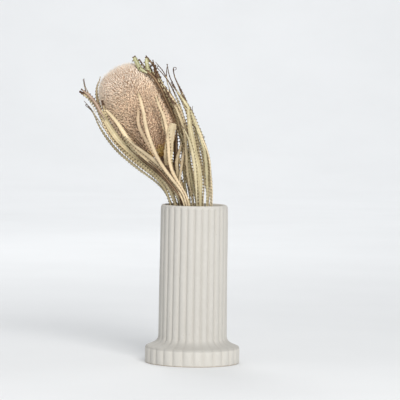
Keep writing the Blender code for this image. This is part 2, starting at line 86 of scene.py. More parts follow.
class Tip(Enum):
    """How a dried leaf ends: the angle in radians through which its last stretch curls."""

    STRAIGHT = 0.25
    BENT = 0.9
    HOOKED = 2.2
    CURLED = 4.6
    BENT_BACK = -0.9
    HOOKED_BACK = -2.2


def deselect_all() -> None:
    """Leaves object mode with nothing selected."""
    if bpy.context.mode != "OBJECT":
        bpy.ops.object.mode_set(mode="OBJECT")
    bpy.ops.object.select_all(action="DESELECT")


def select_edges(piece: bpy.types.Object, wanted: Callable[[Vector, Vector], bool]) -> None:
    """Selects edges by the places of their ends, and stays in edit mode.

    Args:
        piece: The active mesh object, in object mode.
        wanted: Says of an edge's two ends whether the edge is chosen.
    """
    bpy.ops.object.mode_set(mode="EDIT")
    bpy.ops.mesh.select_mode(type="EDGE")
    bpy.ops.mesh.select_all(action="DESELECT")
    bpy.ops.object.mode_set(mode="OBJECT")
    for edge in piece.data.edges:
        edge.select = wanted(*(piece.data.vertices[i].co for i in edge.vertices))
    bpy.ops.object.mode_set(mode="EDIT")


def turn_up(
    rows: Sequence[tuple[float, float]], sides: int, scale: float = 1.0
) -> bpy.types.Object:
    """Models a round body: a ring is extruded and scaled, row by row, and closed in a point.

    Args:
        rows: Radius and height of each row. The last is the closing point, of radius 0.
        sides: How many sides the ring has.
        scale: Scene units for one unit of the rows.

    Returns:
        The body, in object mode.
    """
    deselect_all()
    bpy.ops.mesh.primitive_circle_add(vertices=sides, radius=rows[0][0] * scale, fill_type="TRIFAN")
    piece = bpy.context.object
    bpy.ops.object.mode_set(mode="EDIT")
    bpy.ops.mesh.select_mode(type="EDGE")
    bpy.ops.mesh.select_all(action="SELECT")
    bpy.ops.mesh.region_to_loop()
    for (before, low), (radius, high) in zip(rows, rows[1:]):
        bpy.ops.mesh.extrude_region_move(
            TRANSFORM_OT_translate={"value": (0.0, 0.0, (high - low) * scale)}
        )
        if radius > 0.0:
            bpy.ops.transform.resize(value=(radius / before, radius / before, 1.0))
    bpy.ops.mesh.merge(type="CENTER")
    bpy.ops.mesh.select_all(action="SELECT")
    bpy.ops.mesh.normals_make_consistent(inside=False)
    bpy.ops.object.mode_set(mode="OBJECT")
    return piece


def read_points(piece: bpy.types.Object) -> np.ndarray:
    """Reads a piece's vertices, one row of X, Y and Z for each.

    Args:
        piece: The mesh object.

    Returns:
        One row of X, Y and Z for each vertex.
    """
    flat = np.empty(len(piece.data.vertices) * 3)
    piece.data.vertices.foreach_get("co", flat)
    return flat.reshape(-1, 3)


def write_points(piece: bpy.types.Object, points: np.ndarray) -> None:
    """Moves a piece's vertices to these rows, in metres."""
    piece.data.vertices.foreach_set("co", np.ascontiguousarray(points, dtype=np.float32).ravel())
    piece.data.update()


def new_piece(name: str, points: np.ndarray, faces: np.ndarray) -> bpy.types.Object:
    """Makes a piece from many copies of a shape that was modelled once.

    Args:
        name: The piece's name.
        points: Vertices in millimetres.
        faces: Rows of vertex numbers, all of one length.

    Returns:
        The new object at the origin.
    """
    mesh = bpy.data.meshes.new(name)
    sides = faces.shape[1]
    mesh.vertices.add(len(points))
    mesh.vertices.foreach_set("co", np.ascontiguousarray(points * MM, dtype=np.float32).ravel())
    mesh.loops.add(faces.size)
    mesh.loops.foreach_set("vertex_index", faces.astype(np.int32).ravel())
    mesh.polygons.add(len(faces))
    mesh.polygons.foreach_set("loop_start", np.arange(0, faces.size, sides, dtype=np.int32))
    mesh.update(calc_edges=True)
    mesh.shade_smooth()
    piece = bpy.data.objects.new(name, mesh)
    bpy.context.scene.collection.objects.link(piece)
    return piece


def write_tone(piece: bpy.types.Object, *values: np.ndarray | float) -> None:
    """Stores three values at each vertex, which the finishes read as the attribute tone.

    Args:
        piece: The mesh object.
        *values: Three rows of values, or one value for all vertices.
    """
    count = len(piece.data.vertices)
    rows = np.column_stack([np.broadcast_to(value, count) for value in values])
    layer = piece.data.attributes.new("tone", "FLOAT_VECTOR", "POINT")
    layer.data.foreach_set("vector", np.ascontiguousarray(rows, dtype=np.float32).ravel())


def hand_in(
    piece: bpy.types.Object, finish: bpy.types.Material, nodes: Sequence[str]
) -> None:
    """Dresses a piece, ties it to the body and reports it.

    Args:
        piece: The finished object.
        finish: The piece's material.
        nodes: The solids that it stands for.
    """
    piece.data.materials.clear()
    piece.data.materials.append(finish)
    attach(piece, ROOT_BODY)
    if nodes:
        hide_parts(*nodes)
    LOG.info("%s: %d faces", piece.name, len(piece.data.polygons))


def unit(rows: np.ndarray) -> np.ndarray:
    """Scales each row to length one."""
    return rows / np.linalg.norm(rows, axis=-1, keepdims=True)


def ramp(value: np.ndarray, low: float, high: float) -> np.ndarray:
    """Rises smoothly from 0 at low to 1 at high."""
    share = np.clip((value - low) / (high - low), 0.0, 1.0)
    return share * share * (3.0 - 2.0 * share)


def spread_rows(wanted: np.ndarray, source: np.ndarray, rows: np.ndarray) -> np.ndarray:
    """Reads rows of three values at wanted places between their own, which rise."""
    return np.column_stack([np.interp(wanted, source, rows[:, axis]) for axis in range(3)])


def turned_round(rows: np.ndarray) -> np.ndarray:
    """Turns round the rows that point against the next one nearer the tip.

    Args:
        rows: Directions along a line, from root to tip.

    Returns:
        The same rows, none against its neighbour.
    """
    steps = (rows[1:] * rows[:-1]).sum(axis=1)
    signs = np.cumprod(np.append(np.where(steps < 0.0, -1.0, 1.0), 1.0)[::-1])[::-1]
    return rows * signs[:, None]


def smooth_path(points: Sequence[Sequence[float]], steps: int) -> np.ndarray:
    """Samples a curve that passes through every given point, evenly by length.

    Args:
        points: The points that it passes.
        steps: How many samples.

    Returns:
        The samples.
    """
    line = np.array(points, float)
    line = np.vstack([2 * line[0] - line[1], line, 2 * line[-1] - line[-2]])
    share = np.linspace(0.0, 1.0, 12, endpoint=False)[:, None]
    before, start, end, after = (line[first:len(line) - 3 + first, None] for first in range(4))
    square = share**2
    fine = 2 * start + (end - before) * share + (2 * before - 5 * start + 4 * end - after) * square
    fine = 0.5 * (fine + (3 * start - before - 3 * end + after) * square * share)
    fine = np.vstack([fine.reshape(-1, 3), line[-2]])
    travelled = np.concatenate([[0.0], np.cumsum(np.linalg.norm(np.diff(fine, axis=0), axis=1))])
    return spread_rows(np.linspace(0.0, travelled[-1], steps), travelled, fine)


class Shading:
    """Builds a node tree: each call adds a node and gives its output socket."""

    def __init__(self, tree: bpy.types.NodeTree) -> None:
        """Keeps the tree."""
        self.tree = tree

    def add(
        self, kind: str, inputs: dict | None = None, output: int | str = 0, **settings: object
    ) -> Socket:
        """Adds one node.

        Args:
            kind: The node's type name.
            inputs: Values or sockets, by the input's name or number.
            output: Which output to give back.
            **settings: The node's own properties.

        Returns:
            The chosen output socket.
        """
        node = self.tree.nodes.new(kind)
        for name, value in settings.items():
            setattr(node, name, value)
        for name, value in (inputs or {}).items():
            self.feed(value, node.inputs[name])
        return node.outputs[output]

    def feed(self, value: object, socket: Socket) -> None:
        """Links a socket to an input, or sets a plain value there.

        Args:
            value: A socket, a number or a colour.
            socket: The input that it goes to.
        """
        if isinstance(value, Socket):
            self.tree.links.new(value, socket)
        elif isinstance(value, tuple) and socket.type == "RGBA":
            socket.default_value = (*value, 1.0)
        else:
            socket.default_value = value

    def calc(
        self, operation: str, first: object, second: object = 0.0, third: object = 0.0
    ) -> Socket:
        """Adds a Math node and gives its result."""
        return self.add("ShaderNodeMath", {0: first, 1: second, 2: third}, operation=operation)

    def times(self, first: object, second: object) -> Socket:
        """Multiplies two values."""
        return self.calc("MULTIPLY", first, second)

    def span(
        self, value: Socket, low: float, high: float, start: float = 0.0, end: float = 1.0
    ) -> Socket:
        """Maps low to high smoothly onto start to end."""
        inputs = {"Value": value, "From Min": low, "From Max": high, "To Min": start, "To Max": end}
        return self.add("ShaderNodeMapRange", inputs, interpolation_type="SMOOTHSTEP")

    def blend(self, share: object, first: object, second: object, mode: str = "MIX") -> Socket:
        """Mixes two colours and gives the result."""
        inputs = {0: share, 6: first, 7: second}
        return self.add("ShaderNodeMix", inputs, 2, data_type="RGBA", blend_type=mode)

    def dim(self, colour: object, light: Socket) -> Socket:
        """Multiplies a colour by a plain value."""
        grey = self.add("ShaderNodeCombineColor", {0: light, 1: light, 2: light})
        return self.blend(1.0, colour, grey, "MULTIPLY")

    def noise(
        self, vector: Socket, scale: object, detail: float = 3.0, rough: float = 0.55
    ) -> Socket:
        """Adds a noise texture and gives its value."""
        inputs = {"Vector": vector, "Scale": scale, "Detail": detail, "Roughness": rough}
        return self.add("ShaderNodeTexNoise", inputs)

    def parts(self, vector: Socket) -> tuple[Socket, ...]:
        """Splits a vector into its three values."""
        return tuple(self.add("ShaderNodeSeparateXYZ", {0: vector}).node.outputs)

    def tone(self) -> tuple[Socket, ...]:
        """Reads the three stored values of the surface."""
        return self.parts(self.add("ShaderNodeAttribute", output="Vector", attribute_name="tone"))

    def group(self, tree: bpy.types.NodeTree, inputs: dict, output: str) -> Socket:
        """Places a node group.

        Args:
            tree: The group.
            inputs: Values or sockets, by the input's name.
            output: Which output to give back.

        Returns:
            The chosen output socket.
        """
        node = self.tree.nodes.new("ShaderNodeGroup")
        node.node_tree = tree
        for name, value in inputs.items():
            self.feed(value, node.inputs[name])
        return node.outputs[output]

    def mottle(
        self, colour: Socket, scale: float, contrast: float, light: Colour, dark: Colour
    ) -> Socket:
        """Tints a colour in soft patches.

        Args:
            colour: The colour to tint.
            scale: How fine the patches are.
            contrast: How soft their edges are.
            light: What multiplies it in a light patch.
            dark: What multiplies it in a dark one.

        Returns:
            The tinted colour.
        """
        place = self.add("ShaderNodeTexCoord", output="Object")
        tint = {"Vector": place, "Scale": scale, "Contrast": contrast, "Light": light, "Dark": dark}
        return self.blend(1.0, colour, self.group(Effects.patches(), tint, "Colour"), "MULTIPLY")

    def bump(self, height: Socket, strength: float, depth: float) -> Socket:
        """Turns a height into normals; the depth is in metres."""
        return self.add(
            "ShaderNodeBump", {"Strength": strength, "Distance": depth, "Height": height}
        )

    def dress(self, inputs: dict) -> None:
        """Feeds the material's Principled shader with values or sockets, by the input's name."""
        for name, value in inputs.items():
            self.feed(value, self.tree.nodes["Principled BSDF"].inputs[name])


def group_tree(name: str, inputs: dict[str, object], outputs: dict[str, str]) -> tuple:
    """Starts a shader node group.

    Args:
        name: The group's name.
        inputs: Each input's default: a number, a colour, or None for a vector.
        outputs: Each output's socket type.

    Returns:
        The tree, what it is given and what it gives out.
    """
    tree = bpy.data.node_groups.new(name, "ShaderNodeTree")
    for label, value in inputs.items():
        kind = "NodeSocketVector" if value is None else "NodeSocketFloat"
        kind = "NodeSocketColor" if isinstance(value, tuple) else kind
        socket = tree.interface.new_socket(label, in_out="INPUT", socket_type=kind)
        if isinstance(value, tuple):
            socket.default_value = (*value, 1.0)
        elif value is not None:
            socket.default_value = value
    for label, kind in outputs.items():
        tree.interface.new_socket(label, in_out="OUTPUT", socket_type=kind)
    return tree, tree.nodes.new("NodeGroupInput").outputs, tree.nodes.new("NodeGroupOutput").inputs


class Effects:
    """The effects that several finishes share."""

    @staticmethod
    def patches() -> bpy.types.NodeTree:
        """Makes wide soft patches that are broken by finer ones.

        Returns:
            The group, which gives a mask and a small shift of colour.
        """
        found = bpy.data.node_groups.get("patches")
        if found:
            return found
        inputs = {"Vector": None, "Scale": 30.0, "Contrast": 0.25, "Light": (1.1, 1.1, 1.1),
                  "Dark": (0.85, 0.85, 0.85)}
        outputs = {"Mask": "NodeSocketFloat", "Colour": "NodeSocketColor"}
        tree, given, out = group_tree("patches", inputs, outputs)
        shading = Shading(tree)
        wide = shading.noise(given["Vector"], given["Scale"], 2.0)
        fine = shading.noise(given["Vector"], shading.times(given["Scale"], 4.7), 4.0)
        both = shading.calc("MULTIPLY_ADD", fine, 0.4, shading.times(wide, 0.6))
        sharp = shading.calc("DIVIDE", shading.calc("SUBTRACT", both, 0.5), given["Contrast"])
        mask = shading.calc("ADD", sharp, 0.5)
        mask.node.use_clamp = True
        shading.feed(mask, out["Mask"])
        shading.feed(shading.blend(mask, given["Dark"], given["Light"]), out["Colour"])
        return tree

    @staticmethod
    def fibres() -> bpy.types.NodeTree:
        """Makes fine threads, drawn out along the first axis of the vector.

        Returns:
            The group, which gives their height.
        """
        found = bpy.data.node_groups.get("fibres")
        if found:
            return found
        inputs = {"Vector": None, "Along": 0.12, "Scale": 900.0}
        tree, given, out = group_tree("fibres", inputs, {"Height": "NodeSocketFloat"})
        shading = Shading(tree)
        along, across, deep = shading.parts(given["Vector"])
        slow = shading.times(along, given["Along"])
        vector = shading.add("ShaderNodeCombineXYZ", {0: slow, 1: across, 2: deep})
        shading.feed(shading.noise(vector, given["Scale"], 2.0, 0.6), out["Height"])
        return tree


def new_finish(name: str) -> tuple[bpy.types.Material, Shading, Socket]:
    """Starts a finish.

    Args:
        name: The material's name.

    Returns:
        The material, the helper that builds its nodes, and the place on the object.
    """
    made = bpy.data.materials.new(name)
    made.use_nodes = True
    shading = Shading(made.node_tree)
    return made, shading, shading.add("ShaderNodeTexCoord", output="Object")


@dataclass(frozen=True)
class CeramicFinish:
    """Matte off-white glaze with faint mottling, small pinholes and rubbed rib crests."""

    light: Colour = (0.612, 0.591, 0.548)
    dark: Colour = (0.582, 0.560, 0.517)
    rubbed: Colour = (0.66, 0.638, 0.597)
    speck: Colour = (0.33, 0.27, 0.20)
    bare: Colour = (0.60, 0.52, 0.42)
    roughness: float = 0.62
    patch_scale: float = 22.0
    wear_scale: float = 160.0
    pinhole_scale: float = 260.0
    wear: float = 0.3
    groove_shade: float = 0.16
    # How far painted shade darkens the sloping top of the foot.
    slope_painted_shade: float = 0.80

    def material(self) -> bpy.types.Material:
        """Builds the glaze.

        Returns:
            The material. The stored values are groove depth, bareness and the mask of painted shade
            on the sloping top of the foot.
        """
        made, shading, place = new_finish("vase_glaze")
        groove, bareness, slope_shade_mask = shading.tone()
        patches = {"Vector": place, "Scale": self.patch_scale, "Contrast": 0.45}
        mask = shading.group(Effects.patches(), patches, "Mask")
        colour = shading.blend(mask, self.dark, self.light)
        crest = shading.span(groove, 0.35, 0.0)
        worn = shading.times(
            crest, shading.span(shading.noise(place, self.wear_scale, 5.0), 0.48, 0.68)
        )
        colour = shading.blend(shading.times(worn, self.wear), colour, self.rubbed)
        # Painted shade: the grooves are darkened towards the dark glaze colour.
        colour = shading.blend(
            shading.times(groove, self.groove_shade), colour, self.dark, "MULTIPLY"
        )
        cells = shading.add(
            "ShaderNodeTexVoronoi", {"Vector": place, "Scale": self.pinhole_scale}, "Distance"
        )
        rare = shading.span(shading.noise(place, 95.0, 2.0), 0.56, 0.64)
        specks = shading.times(shading.span(cells, 0.16, 0.07), rare)
        colour = shading.blend(shading.times(specks, 0.5), colour, self.speck)
        # Painted shade darkens the sloping top of the foot; a little painted light brightens the
        # rest.
        colour = shading.dim(colour, shading.span(slope_shade_mask, 0.0, 1.0, 1.04, self.slope_painted_shade))
        colour = shading.blend(bareness, colour, self.bare)
        rough = shading.span(mask, 0.0, 1.0, self.roughness + 0.08, self.roughness - 0.06)
        peel, swell = shading.noise(place, 620.0, 3.0), shading.noise(place, 55.0, 1.0)
        height = shading.calc("MULTIPLY_ADD", swell, 2.4, shading.times(peel, 0.35))
        height = shading.calc("SUBTRACT", height, shading.times(specks, 0.6))
        normal = shading.bump(height, 0.35, 0.0006)
        shading.dress(
            {"Base Color": colour, "Roughness": rough, "Specular IOR Level": 0.28, "Normal": normal}
        )
        return made


@dataclass(frozen=True)
class BarkFinish:
    """Dry dark brown bark with long cracks and grey-tan ridges."""

    deep: Colour = (0.045, 0.022, 0.012)
    ridge: Colour = (0.235, 0.140, 0.080)
    scar: Colour = (0.33, 0.22, 0.13)
    crack_scale: float = 26.0

    def material(self) -> bpy.types.Material:
        """Builds the bark.

        Returns:
            The material. The stored values are place along, place round and scar.
        """
        made, shading, _ = new_finish("stem_bark")
        along, around, scar = shading.tone()
        skin = shading.add("ShaderNodeCombineXYZ", {0: along, 1: around, 2: 0.0})
        cracks = {"Vector": skin, "Along": 0.10, "Scale": self.crack_scale}
        ridges = shading.span(shading.group(Effects.fibres(), cracks, "Height"), 0.36, 0.66)
        colour = shading.blend(ridges, self.deep, self.ridge)
        colour = shading.mottle(colour, 90.0, 0.4, (1.35, 1.3, 1.25), (0.7, 0.68, 0.66))
        colour = shading.blend(scar, colour, self.scar)
        rough = shading.span(ridges, 0.0, 1.0, 0.92, 0.72)
        normal = shading.bump(ridges, 0.8, 0.0008)
        shading.dress({"Base Color": colour, "Roughness": rough, "Normal": normal})
        return made


@dataclass(frozen=True)
class FeltFinish:
    """Short-haired felt that runs from a dark root, partly painted shade, to a pale tip."""

    name: str
    root: Colour
    middle: Colour
    tip: Colour
    crown: Colour
    blush: Colour
    foot: Colour = (1.0, 0.80, 0.31)
    foot_shade: Colour = (0.62, 0.36, 0.12)
    hair_scale: float = 5200.0

    def material(self) -> bpy.types.Material:
        """Builds the felt.

        Returns:
            The material. The stored values are height on the floret, place along the head and
            chance.
        """
        made, shading, place = new_finish(self.name)
        height, along, chance = shading.tone()
        tip = shading.blend(shading.span(along, 0.55, 1.0), self.tip, self.crown)
        tip = shading.blend(shading.span(along, 0.55, 0.12, 0.0, 0.55), tip, self.blush)
        # The dark root colour is partly the florets' browner bases and partly painted shade in the
        # gaps between them, stronger towards the base of the head.
        deep = shading.blend(shading.span(along, 0.35, 0.95), self.root, self.middle)
        colour = shading.blend(shading.span(height, 0.10, 0.62), deep, self.middle)
        colour = shading.blend(shading.span(height, 0.55, 0.95), colour, tip)
        ragged = shading.calc("MULTIPLY_ADD", shading.noise(place, 120.0, 2.0), 0.06, along)
        tufts = shading.span(shading.noise(place, 190.0, 2.0), 0.40, 0.56)
        woolly = shading.times(shading.span(ragged, 0.110, 0.085), 0.9)
        colour = shading.blend(woolly, colour, shading.blend(tufts, self.foot_shade, self.foot))
        colour = shading.dim(colour, shading.span(chance, 0.0, 1.0, 0.85, 1.15))
        colour = shading.mottle(colour, 38.0, 0.5, (1.08, 1.07, 1.06), (0.86, 0.82, 0.78))
        hairs = shading.noise(place, self.hair_scale, 3.0, 0.7)
        rough = shading.span(hairs, 0.3, 0.7, 0.85, 1.0)
        normal = shading.bump(hairs, 0.5, 0.0002)
        shading.dress({
            "Base Color": colour, "Roughness": rough, "Specular IOR Level": 0.2, "Normal": normal,
            "Sheen Weight": 0.22, "Sheen Roughness": 0.5,
        })
        return made


@dataclass(frozen=True)
class LeafFinish:
    """Dry leaf: pale midrib, cross veins with pits between them, brown margins and tips."""

    name: str
    lamina: Colour
    pit: Colour
    rib: Colour
    margin: Colour = (0.12, 0.071, 0.041)
    dry: Colour = (0.12, 0.068, 0.040)
    warm: Colour = (1.07, 0.98, 0.94)
    cool: Colour = (0.99, 0.995, 0.94)
    vein_spacing: float = 2.3
    vein_slant: float = -1.25
    blotch_scale: float = 240.0

    def material(self) -> bpy.types.Material:
        """Builds the leaf skin.

        Returns:
            The material. Its map holds centimetres along the leaf and the share across it. The
            stored values are dryness, chance and width of the rib.
        """
        made, shading, place = new_finish(self.name + "_skin")
        flat = shading.add("ShaderNodeUVMap", uv_map="UVMap")
        along, across, _ = shading.parts(flat)
        dryness, chance, rib_share = shading.tone()
        aside = shading.calc("ABSOLUTE", across)
        slant = shading.times(aside, self.vein_slant)
        steps = shading.calc("MULTIPLY_ADD", along, 10.0 / self.vein_spacing, slant)
        vein = shading.span(shading.calc("PINGPONG", steps, 0.5), 0.22, 0.46)
        inner = shading.calc("SUBTRACT", aside, rib_share)
        blade = shading.times(shading.span(inner, 0.0, 0.12), shading.span(aside, 0.66, 0.5))
        pits = shading.times(shading.calc("SUBTRACT", 1.0, vein), blade)
        blotch = shading.noise(place, self.blotch_scale, 3.0)
        pits = shading.times(pits, shading.span(blotch, 0.25, 0.6, 0.25, 0.85))
        colour = shading.blend(pits, self.lamina, self.pit)
        colour = shading.blend(
            shading.times(shading.span(inner, 0.05, -0.04), 0.9), colour, self.rib
        )
        edge = shading.times(
            shading.span(aside, 0.50, 0.70), shading.span(blotch, 0.2, 0.45, 0.55, 1.0)
        )
        colour = shading.blend(shading.times(edge, 0.95), colour, self.margin)
        colour = shading.mottle(colour, 42.0, 0.35, (1.16, 1.14, 1.08), (0.74, 0.72, 0.66))
        colour = shading.dim(colour, shading.span(chance, 0.0, 1.0, 0.80, 1.15))
        hue = shading.calc("FRACT", shading.times(chance, 7.3))
        colour = shading.blend(1.0, colour, shading.blend(hue, self.warm, self.cool), "MULTIPLY")
        uneven = shading.times(shading.calc("SUBTRACT", blotch, 0.5), 0.9)
        brown = shading.span(shading.calc("ADD", dryness, uneven), 0.35, 0.75)
        colour = shading.blend(brown, colour, self.dry)
        grain = {"Vector": flat, "Along": 0.25, "Scale": 9.0}
        threads = shading.group(Effects.fibres(), grain, "Height")
        height = shading.calc("MULTIPLY_ADD", vein, 0.7, shading.times(threads, 0.6))
        rough = shading.span(threads, 0.3, 0.7, 0.62, 0.82)
        normal = shading.bump(height, 0.6, 0.0003)
        shading.dress(
            {"Base Color": colour, "Roughness": rough, "Specular IOR Level": 0.35, "Normal": normal}
        )
        return made


@dataclass
class Vase:
    """A straight fluted vase on a wide round foot."""

    height: float = 200.0
    top_radius: float = 42.5
    low_radius: float = 43.5
    mouth_radius: float = 37.0
    foot_radius: float = 60.0
    band_height: float = 17.5
    straight_from: float = 34.0
    lip_height: float = 8.0
    lip_depth: float = 3.2
    floor_height: float = 14.0
    corner_height: float = 8.0
    ribs: int = 28
    points_per_rib: int = 16
    groove_depth: float = 1.9
    groove_phase: float = math.radians(-89.0)
    rib_squareness: float = 3.0
    wobble: float = 0.12

    def profile(self) -> list[tuple[float, float]]:
        """Lists the rows from the underside's rim up, over the lip and down the inside.

        Returns:
            Radius and height of each row.
        """
        top, foot, band, floor = self.height, self.foot_radius, self.band_height, self.floor_height
        rows = [
            (58.4, 0.0), (59.5, 0.35), (foot, 1.6), (foot, 6.0), (foot, 12.0), (foot, band - 1.2),
            (59.85, band + 0.6), (59.3, 19.9), (58.3, 21.0), (57.0, 21.7), (54.6, 22.6),
            (52.4, 23.5), (50.4, 24.4), (48.2, 25.6), (46.3, 27.1), (45.0, 28.7), (44.2, 30.3),
            (43.75, 32.0), (self.low_radius, self.straight_from),
        ]
        for share in np.linspace(0.0, 1.0, 22)[1:]:
            radius = self.low_radius + (self.top_radius - self.low_radius) * share
            rows.append(
                (radius, self.straight_from + (top - self.lip_height - self.straight_from) * share)
            )
        lip = (
            (42.5, 6.2), (42.46, 4.9), (42.35, 3.8), (42.1, 2.6), (41.7, 1.6), (41.1, 0.8),
            (40.3, 0.22), (39.3, 0.0), (38.4, 0.25), (37.7, 0.9), (37.25, 1.9),
            (self.mouth_radius, self.lip_depth),
        )
        rows += [(radius, top - drop) for radius, drop in lip]
        for share in np.linspace(0.0, 1.0, 10)[1:]:
            drop = (top - self.lip_depth - floor - self.corner_height) * share
            rows.append((self.mouth_radius, top - self.lip_depth - drop))
        corner = ((36.2, 4.4), (34.6, 2.0), (31.8, 0.5), (28.0, 0.0), (14.0, 0.0), (0.0, 0.0))
        return rows + [(radius, floor + rise) for radius, rise in corner]

    def depth_share(self, place: np.ndarray) -> np.ndarray:
        """Shapes the hollow between two ribs.

        Args:
            place: Place between two crests, from 0 to 1.

        Returns:
            How deep it lies: 0 on the crest, 1 in the groove.
        """
        aside = np.abs(2.0 * place - 1.0)
        soft = 1.0 - np.hypot(1.0 - aside, 0.05) + 0.05
        return np.clip(soft, 0.0, 1.0) ** self.rib_squareness

    def build(self) -> bpy.types.Object:
        """Raises the wall row by row, then presses the flutes.

        Returns:
            The vase, not yet dressed.
        """
        piece = turn_up(self.profile(), self.ribs * self.points_per_rib, MM)
        piece.name = "fluted_vase"
        self.press_flutes(piece)
        piece.data.shade_smooth()
        return piece

    def press_flutes(self, piece: bpy.types.Object) -> None:
        """Moves the outer rows inwards between the ribs and stores the depth for the finish.

        Args:
            piece: The turned vase.
        """
        points = read_points(piece) / MM
        radius = np.hypot(points[:, 0], points[:, 1])
        angle = np.arctan2(points[:, 1], points[:, 0])
        z = points[:, 2]
        place = ((angle - self.groove_phase) / math.tau * self.ribs) % 1.0
        outer = (radius > self.top_radius - 2.4) & (z > 0.1)
        strength = 1.0 - 0.72 * ramp(z, self.height - 6.0, self.height - 2.0)
        strength *= 1.0 - ramp(z, self.height - 1.9, self.height - 0.2)
        slope = ramp(z, self.band_height - 0.5, self.band_height + 3.0)
        slope *= 1.0 - ramp(z, 25.0, 33.0)
        strength *= 1.0 - 0.45 * slope
        strength *= 0.25 + 0.75 * ramp(z, 0.0, 3.5)
        share = self.depth_share(place) * strength * outer
        sway = np.sin(angle * 3.0 + z * 0.021) + np.sin(angle * 5.0 - z * 0.033 + 1.3)
        sway = sway + np.sin(angle * 11.0 + z * 0.05)
        swayed = sway * self.wobble * outer * ramp(z, 2.0, 10.0)
        new_radius = radius - share * self.groove_depth + swayed
        points[:, :2] *= np.where(radius > 1.0, new_radius / np.maximum(radius, 1.0), 1.0)[:, None]
        write_points(piece, points * MM)
        bare = (1.0 - ramp(z, 0.2, 1.3)) * (radius > 30.0)
        # Mask of the painted shade on the sloping top of the foot.
        slope_shade_mask = ramp(z, self.band_height, self.band_height + 2.5)
        slope_shade_mask *= 1.0 - 0.6 * ramp(z, 24.0, self.straight_from)
        write_tone(piece, share, bare, slope_shade_mask)

    def hand_in(self) -> None:
        """Builds and dresses the vase."""
        hand_in(self.build(), CeramicFinish().material(), ["vase"])


@dataclass
class Stem:
    """The woody stem, from the floor of the vase to the flower head."""

    path: Path = (
        (14, 2, 15.2), (8, 3, 60), (-1, 4, 120), (-13, 5, 185), (-24, 6, 226), (-39.9, 8, 260.7)
    )
    radii: tuple[float, ...] = (4.6, 4.4, 4.3, 4.2, 4.6, 6.0)
    sides: int = 28
    rings: int = 100
    length: float = 260.0
    scars: int = 34
    scarred: tuple[float, float] = (30.0, 228.0)
    scar_turn: float = 2.4
    skin_depth: float = 0.35
    line: np.ndarray = field(init=False)

    def __post_init__(self) -> None:
        """Samples the middle line once."""
        self.line = smooth_path(self.path, 120)

    def point(self, height: float) -> np.ndarray:
        """The point of the middle line at this height."""
        return np.array(
            [np.interp(height, self.line[:, 2], self.line[:, axis]) for axis in range(3)]
        )

    def radius(self, height: np.ndarray | float) -> np.ndarray | float:
        """The stem's radius at this height."""
        return np.interp(height, [point[2] for point in self.path], self.radii)

    def relief(
        self, angle: np.ndarray, length: np.ndarray, size: np.ndarray
    ) -> tuple[np.ndarray, np.ndarray]:
        """The bark's ridges and its leaf scars.

        Args:
            angle: Place round the stem, in radians.
            length: Place along the stem.
            size: The stem's radius there.

        Returns:
            The height over the smooth stem, and how much of a scar each point is.
        """
        draw = random.Random(SEED)
        ridge = np.sin(angle * 7.0 + np.sin(length * 0.11) * 1.4)
        ridge += np.sin(angle * 11.0 + length * 0.06 + 2.0)
        height = 0.13 * ridge
        scar = np.zeros(len(angle))
        first, stretch = self.scarred
        for number in range(self.scars):
            at = first + number * (stretch / self.scars) + draw.uniform(-2.0, 2.0)
            turn = number * self.scar_turn + draw.uniform(-0.3, 0.3)
            off = (angle - turn + math.pi) % math.tau - math.pi
            near = np.exp(-((length - at) / 2.1) ** 2 - (off * size / 2.2) ** 2)
            height += 0.75 * near - 0.5 * np.exp(
                -((length - at - 0.9) / 0.9) ** 2 - (off * size / 1.1) ** 2
            )
            scar = np.maximum(scar, near)
        return height, scar

    def build(self) -> bpy.types.Object:
        """Bends a finely divided rod along the middle line and raises cracks and scars on it.

        Returns:
            The stem, not yet dressed.
        """
        deselect_all()
        middle = (0.0, 0.0, 0.5)
        bpy.ops.mesh.primitive_cylinder_add(
            vertices=self.sides, radius=1.0, depth=1.0, location=middle
        )
        piece = bpy.context.object
        piece.name = "banksia_stem"
        bpy.ops.object.transform_apply(location=True, rotation=False, scale=False)
        select_edges(piece, lambda start, end: abs(start.z - end.z) > 0.5)
        bpy.ops.mesh.subdivide(number_cuts=self.rings)
        bpy.ops.object.mode_set(mode="OBJECT")
        points = read_points(piece)
        share = points[:, 2]
        angle = np.arctan2(points[:, 1], points[:, 0])
        fine = smooth_path(self.path, 400)
        ahead = unit(np.gradient(fine, axis=0))
        across = unit(np.cross(ahead, np.array((0.0, 1.0, 0.0))))
        back = np.cross(ahead, across)
        source = np.linspace(0.0, 1.0, len(fine))
        centre, aside, behind = (spread_rows(share, source, rows) for rows in (fine, across, back))
        size = self.radius(centre[:, 2])
        length = share * self.length
        height, scar = self.relief(angle, length, size)
        inside = np.hypot(points[:, 0], points[:, 1]) > 0.5
        reach = (size - self.skin_depth + np.minimum(height, 0.5))[:, None] * inside[:, None]
        ring = aside * np.cos(angle)[:, None] + behind * np.sin(angle)[:, None]
        write_points(piece, (centre + ring * reach) * MM)
        write_tone(piece, length / 10.0, angle, scar * 0.6)
        piece.data.shade_smooth()
        return piece

    def hand_in(self) -> None:
        """Builds and dresses the stem."""
        hand_in(self.build(), BarkFinish().material(), ["stem"])


